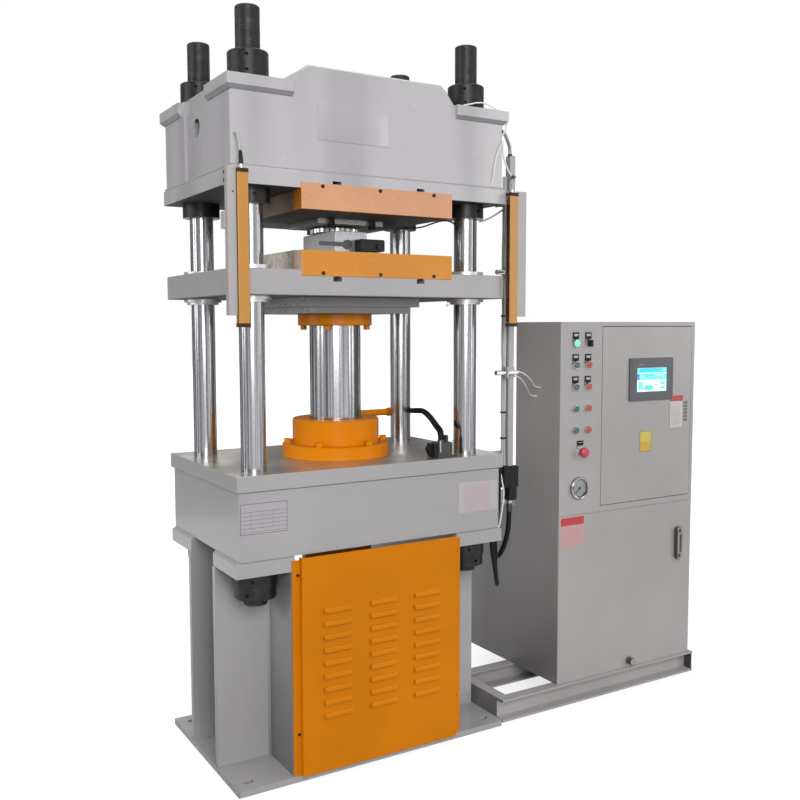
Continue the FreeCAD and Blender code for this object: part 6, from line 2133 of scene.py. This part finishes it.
PLATES: tuple[Plates, ...] = (
    Plates("head_plate", "frame", "upper_crosshead", (
        ((-0.213, -0.3132, 2.025), (0.037, -0.311, 2.148), HEAD_GREY, 0.0004),
        ((-0.5085, -0.3462, 1.8415), (-0.5035, -0.3440, 1.8465), BLACK, 0.0006),
        ((0.5805, -0.2495, 2.0560), (0.6015, -0.2245, 2.0592), BLACK_PLASTIC, 0.0008))),
    Plates("connector_strips", "frame", "connector_box", (
        ((0.2475, -0.2986, 1.020), (0.2525, -0.2970, 1.060), STRIP_BEIGE, 0.0003),
        ((0.2990, -0.2986, 1.020), (0.3040, -0.2970, 1.060), STRIP_BEIGE, 0.0003))),
    Plates("switch_screws", "frame", "limit_switch", (
        ((-0.5170, -0.3246, 1.7495), (-0.5110, -0.3230, 1.7555), BLACK, 0.0005),
        ((-0.5170, -0.3246, 1.7755), (-0.5110, -0.3230, 1.7815), BLACK, 0.0005))),
    # A dark plate in the end of the front channel: painted shade of the channel's hollow.
    Plates("skid_end", "frame", "skid", (
        ((1.516, -0.3005, 0.008), (1.522, -0.262, 0.075), HOOD_GREY, 0.0006),)),
)


@dataclass
class Trim:
    """Small plates, the lamp's dome, the striker and the weld seams."""

    finishes: Finishes
    head_front: float = -0.312
    head_half: float = 0.498
    head_seam: float = 1.927
    bed_front: float = -0.313
    bed_half: float = 0.491
    bed_seam: float = 0.952
    bead: float = 0.0046
    bead_pitch: float = 0.0046
    bead_depth: float = 0.11
    lamp_foot: Point = (0.865, -0.288, 1.387)
    nipple_top: Point = (0.279, -0.296, 1.5278)

    def seams(self) -> None:
        """The weld beads, one ribbed skin along all the seams of the frame."""
        mesh = bpy.data.meshes.new("seam_lines")
        points: list[Point] = []
        edges: list[tuple[int, int]] = []
        for half, front, z in ((self.head_half, self.head_front, self.head_seam),
                               (self.bed_half, self.bed_front, self.bed_seam)):
            corners = [(-half, -front), (-half, front), (half, front), (half, -front)]
            for (ax, ay), (bx, by) in zip(corners, corners[1:]):
                edges.append((len(points), len(points) + 1))
                points += [(ax, ay, z), (bx, by, z)]
        mesh.from_pydata(points, edges, [])
        skin = ribbed_skin(self.finishes.get(SEAM_GREY), 8)
        skin.grow("weld_seams", mesh, {"Radius": self.bead, "Pitch": self.bead_pitch,
                                       "Depth": self.bead_depth}, "frame", "upper_crosshead",
                  sharp=70.0)

    def lamp(self) -> None:
        """The lit dome of the lamp over the left column of buttons."""
        f = Former("lamp_dome", self.finishes)
        place = Matrix.Translation(self.lamp_foot) @ Axis.FRONT.turn()
        f.lathe([(0.0, 0.0108), (0.0116, 0.0108), (0.0116, 0.0124), (0.0098, 0.0146),
                 (0.0074, 0.0163), (0.0, 0.0167)], place, LAMP_GREEN, 32)
        f.end("frame", "button_bezels")

    def plates(self) -> None:
        """The pieces that are plain blocks."""
        for plates in PLATES:
            f = Former(plates.name, self.finishes)
            for low, high, finish, bevel in plates.blocks:
                f.box(low, high, finish, bevel)
            f.end(plates.body, plates.slot)

    def striker(self) -> None:
        """The striker at the platen's side and the grease nipple under it."""
        f = Former("striker", self.finishes)
        f.box((-0.523, -0.324, 1.623), (-0.505, -0.320, 1.641), ZINC, 0.0006)
        place = Matrix.Translation(self.nipple_top) @ Matrix.Rotation(math.pi, 4, "X")
        f.lathe([(0.0, -0.001), (0.0042, -0.001), (0.0042, 0.004), (0.0026, 0.006),
                 (0.0026, 0.009), (0.0, 0.0105)], place, ZINC, 12)
        f.end("platen", "moving_platen")

    def build(self) -> None:
        """All of it."""
        self.seams()
        self.lamp()
        self.plates()
        self.striker()


def dress_nodes(frame: dict, finishes: Finishes) -> None:
    """Gives every CAD node its finish.

    Args:
        frame: the loaded frame.
        finishes: where the materials come from.
    """
    for name, node in frame["nodes"].items():
        finishes.dress(node, DRESS[name])
    LOG.info("dressed %d nodes", len(frame["nodes"]))


def outward(low: Vector, high: Vector) -> Axis:
    """Finds the way that a screw on the press's front or sides looks.

    Args:
        low: the lowest corner of its box.
        high: the highest corner.

    Returns:
        The way.
    """
    size = high - low
    if size.y < min(size.x, size.z):
        return Axis.FRONT
    return Axis.RIGHT if low.x + high.x > 0.0 else Axis.LEFT


def main() -> None:
    """Builds the scene."""
    logging.basicConfig(level=logging.INFO, format="%(message)s")
    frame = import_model()
    bpy.context.scene.view_settings.view_transform = "Standard"
    Studio().build()
    finishes = Finishes()
    dress_nodes(frame, finishes)
    screws = SocketScrews(finishes)
    screws.stand_in(frame, "frame_screws", BLACK, "frame", outward)
    screws.stand_in(frame, "cover_screws", BLACK, "platen", lambda low, high: Axis.FRONT)
    screws.stand_in(frame, "cylinder_bolts", AMBER_PAINT, "frame", lambda low, high: Axis.UP)
    screws.stand_in(frame, "ram_bolts", AMBER_PAINT, "platen", lambda low, high: Axis.DOWN)
    StudThreads(finishes).build()
    Cords(finishes).build()
    ControlFace(finishes).build()
    Labels(finishes).build()
    CurtainPair(finishes).build()
    Trim(finishes).build()


if __name__ == "__main__":
    main()
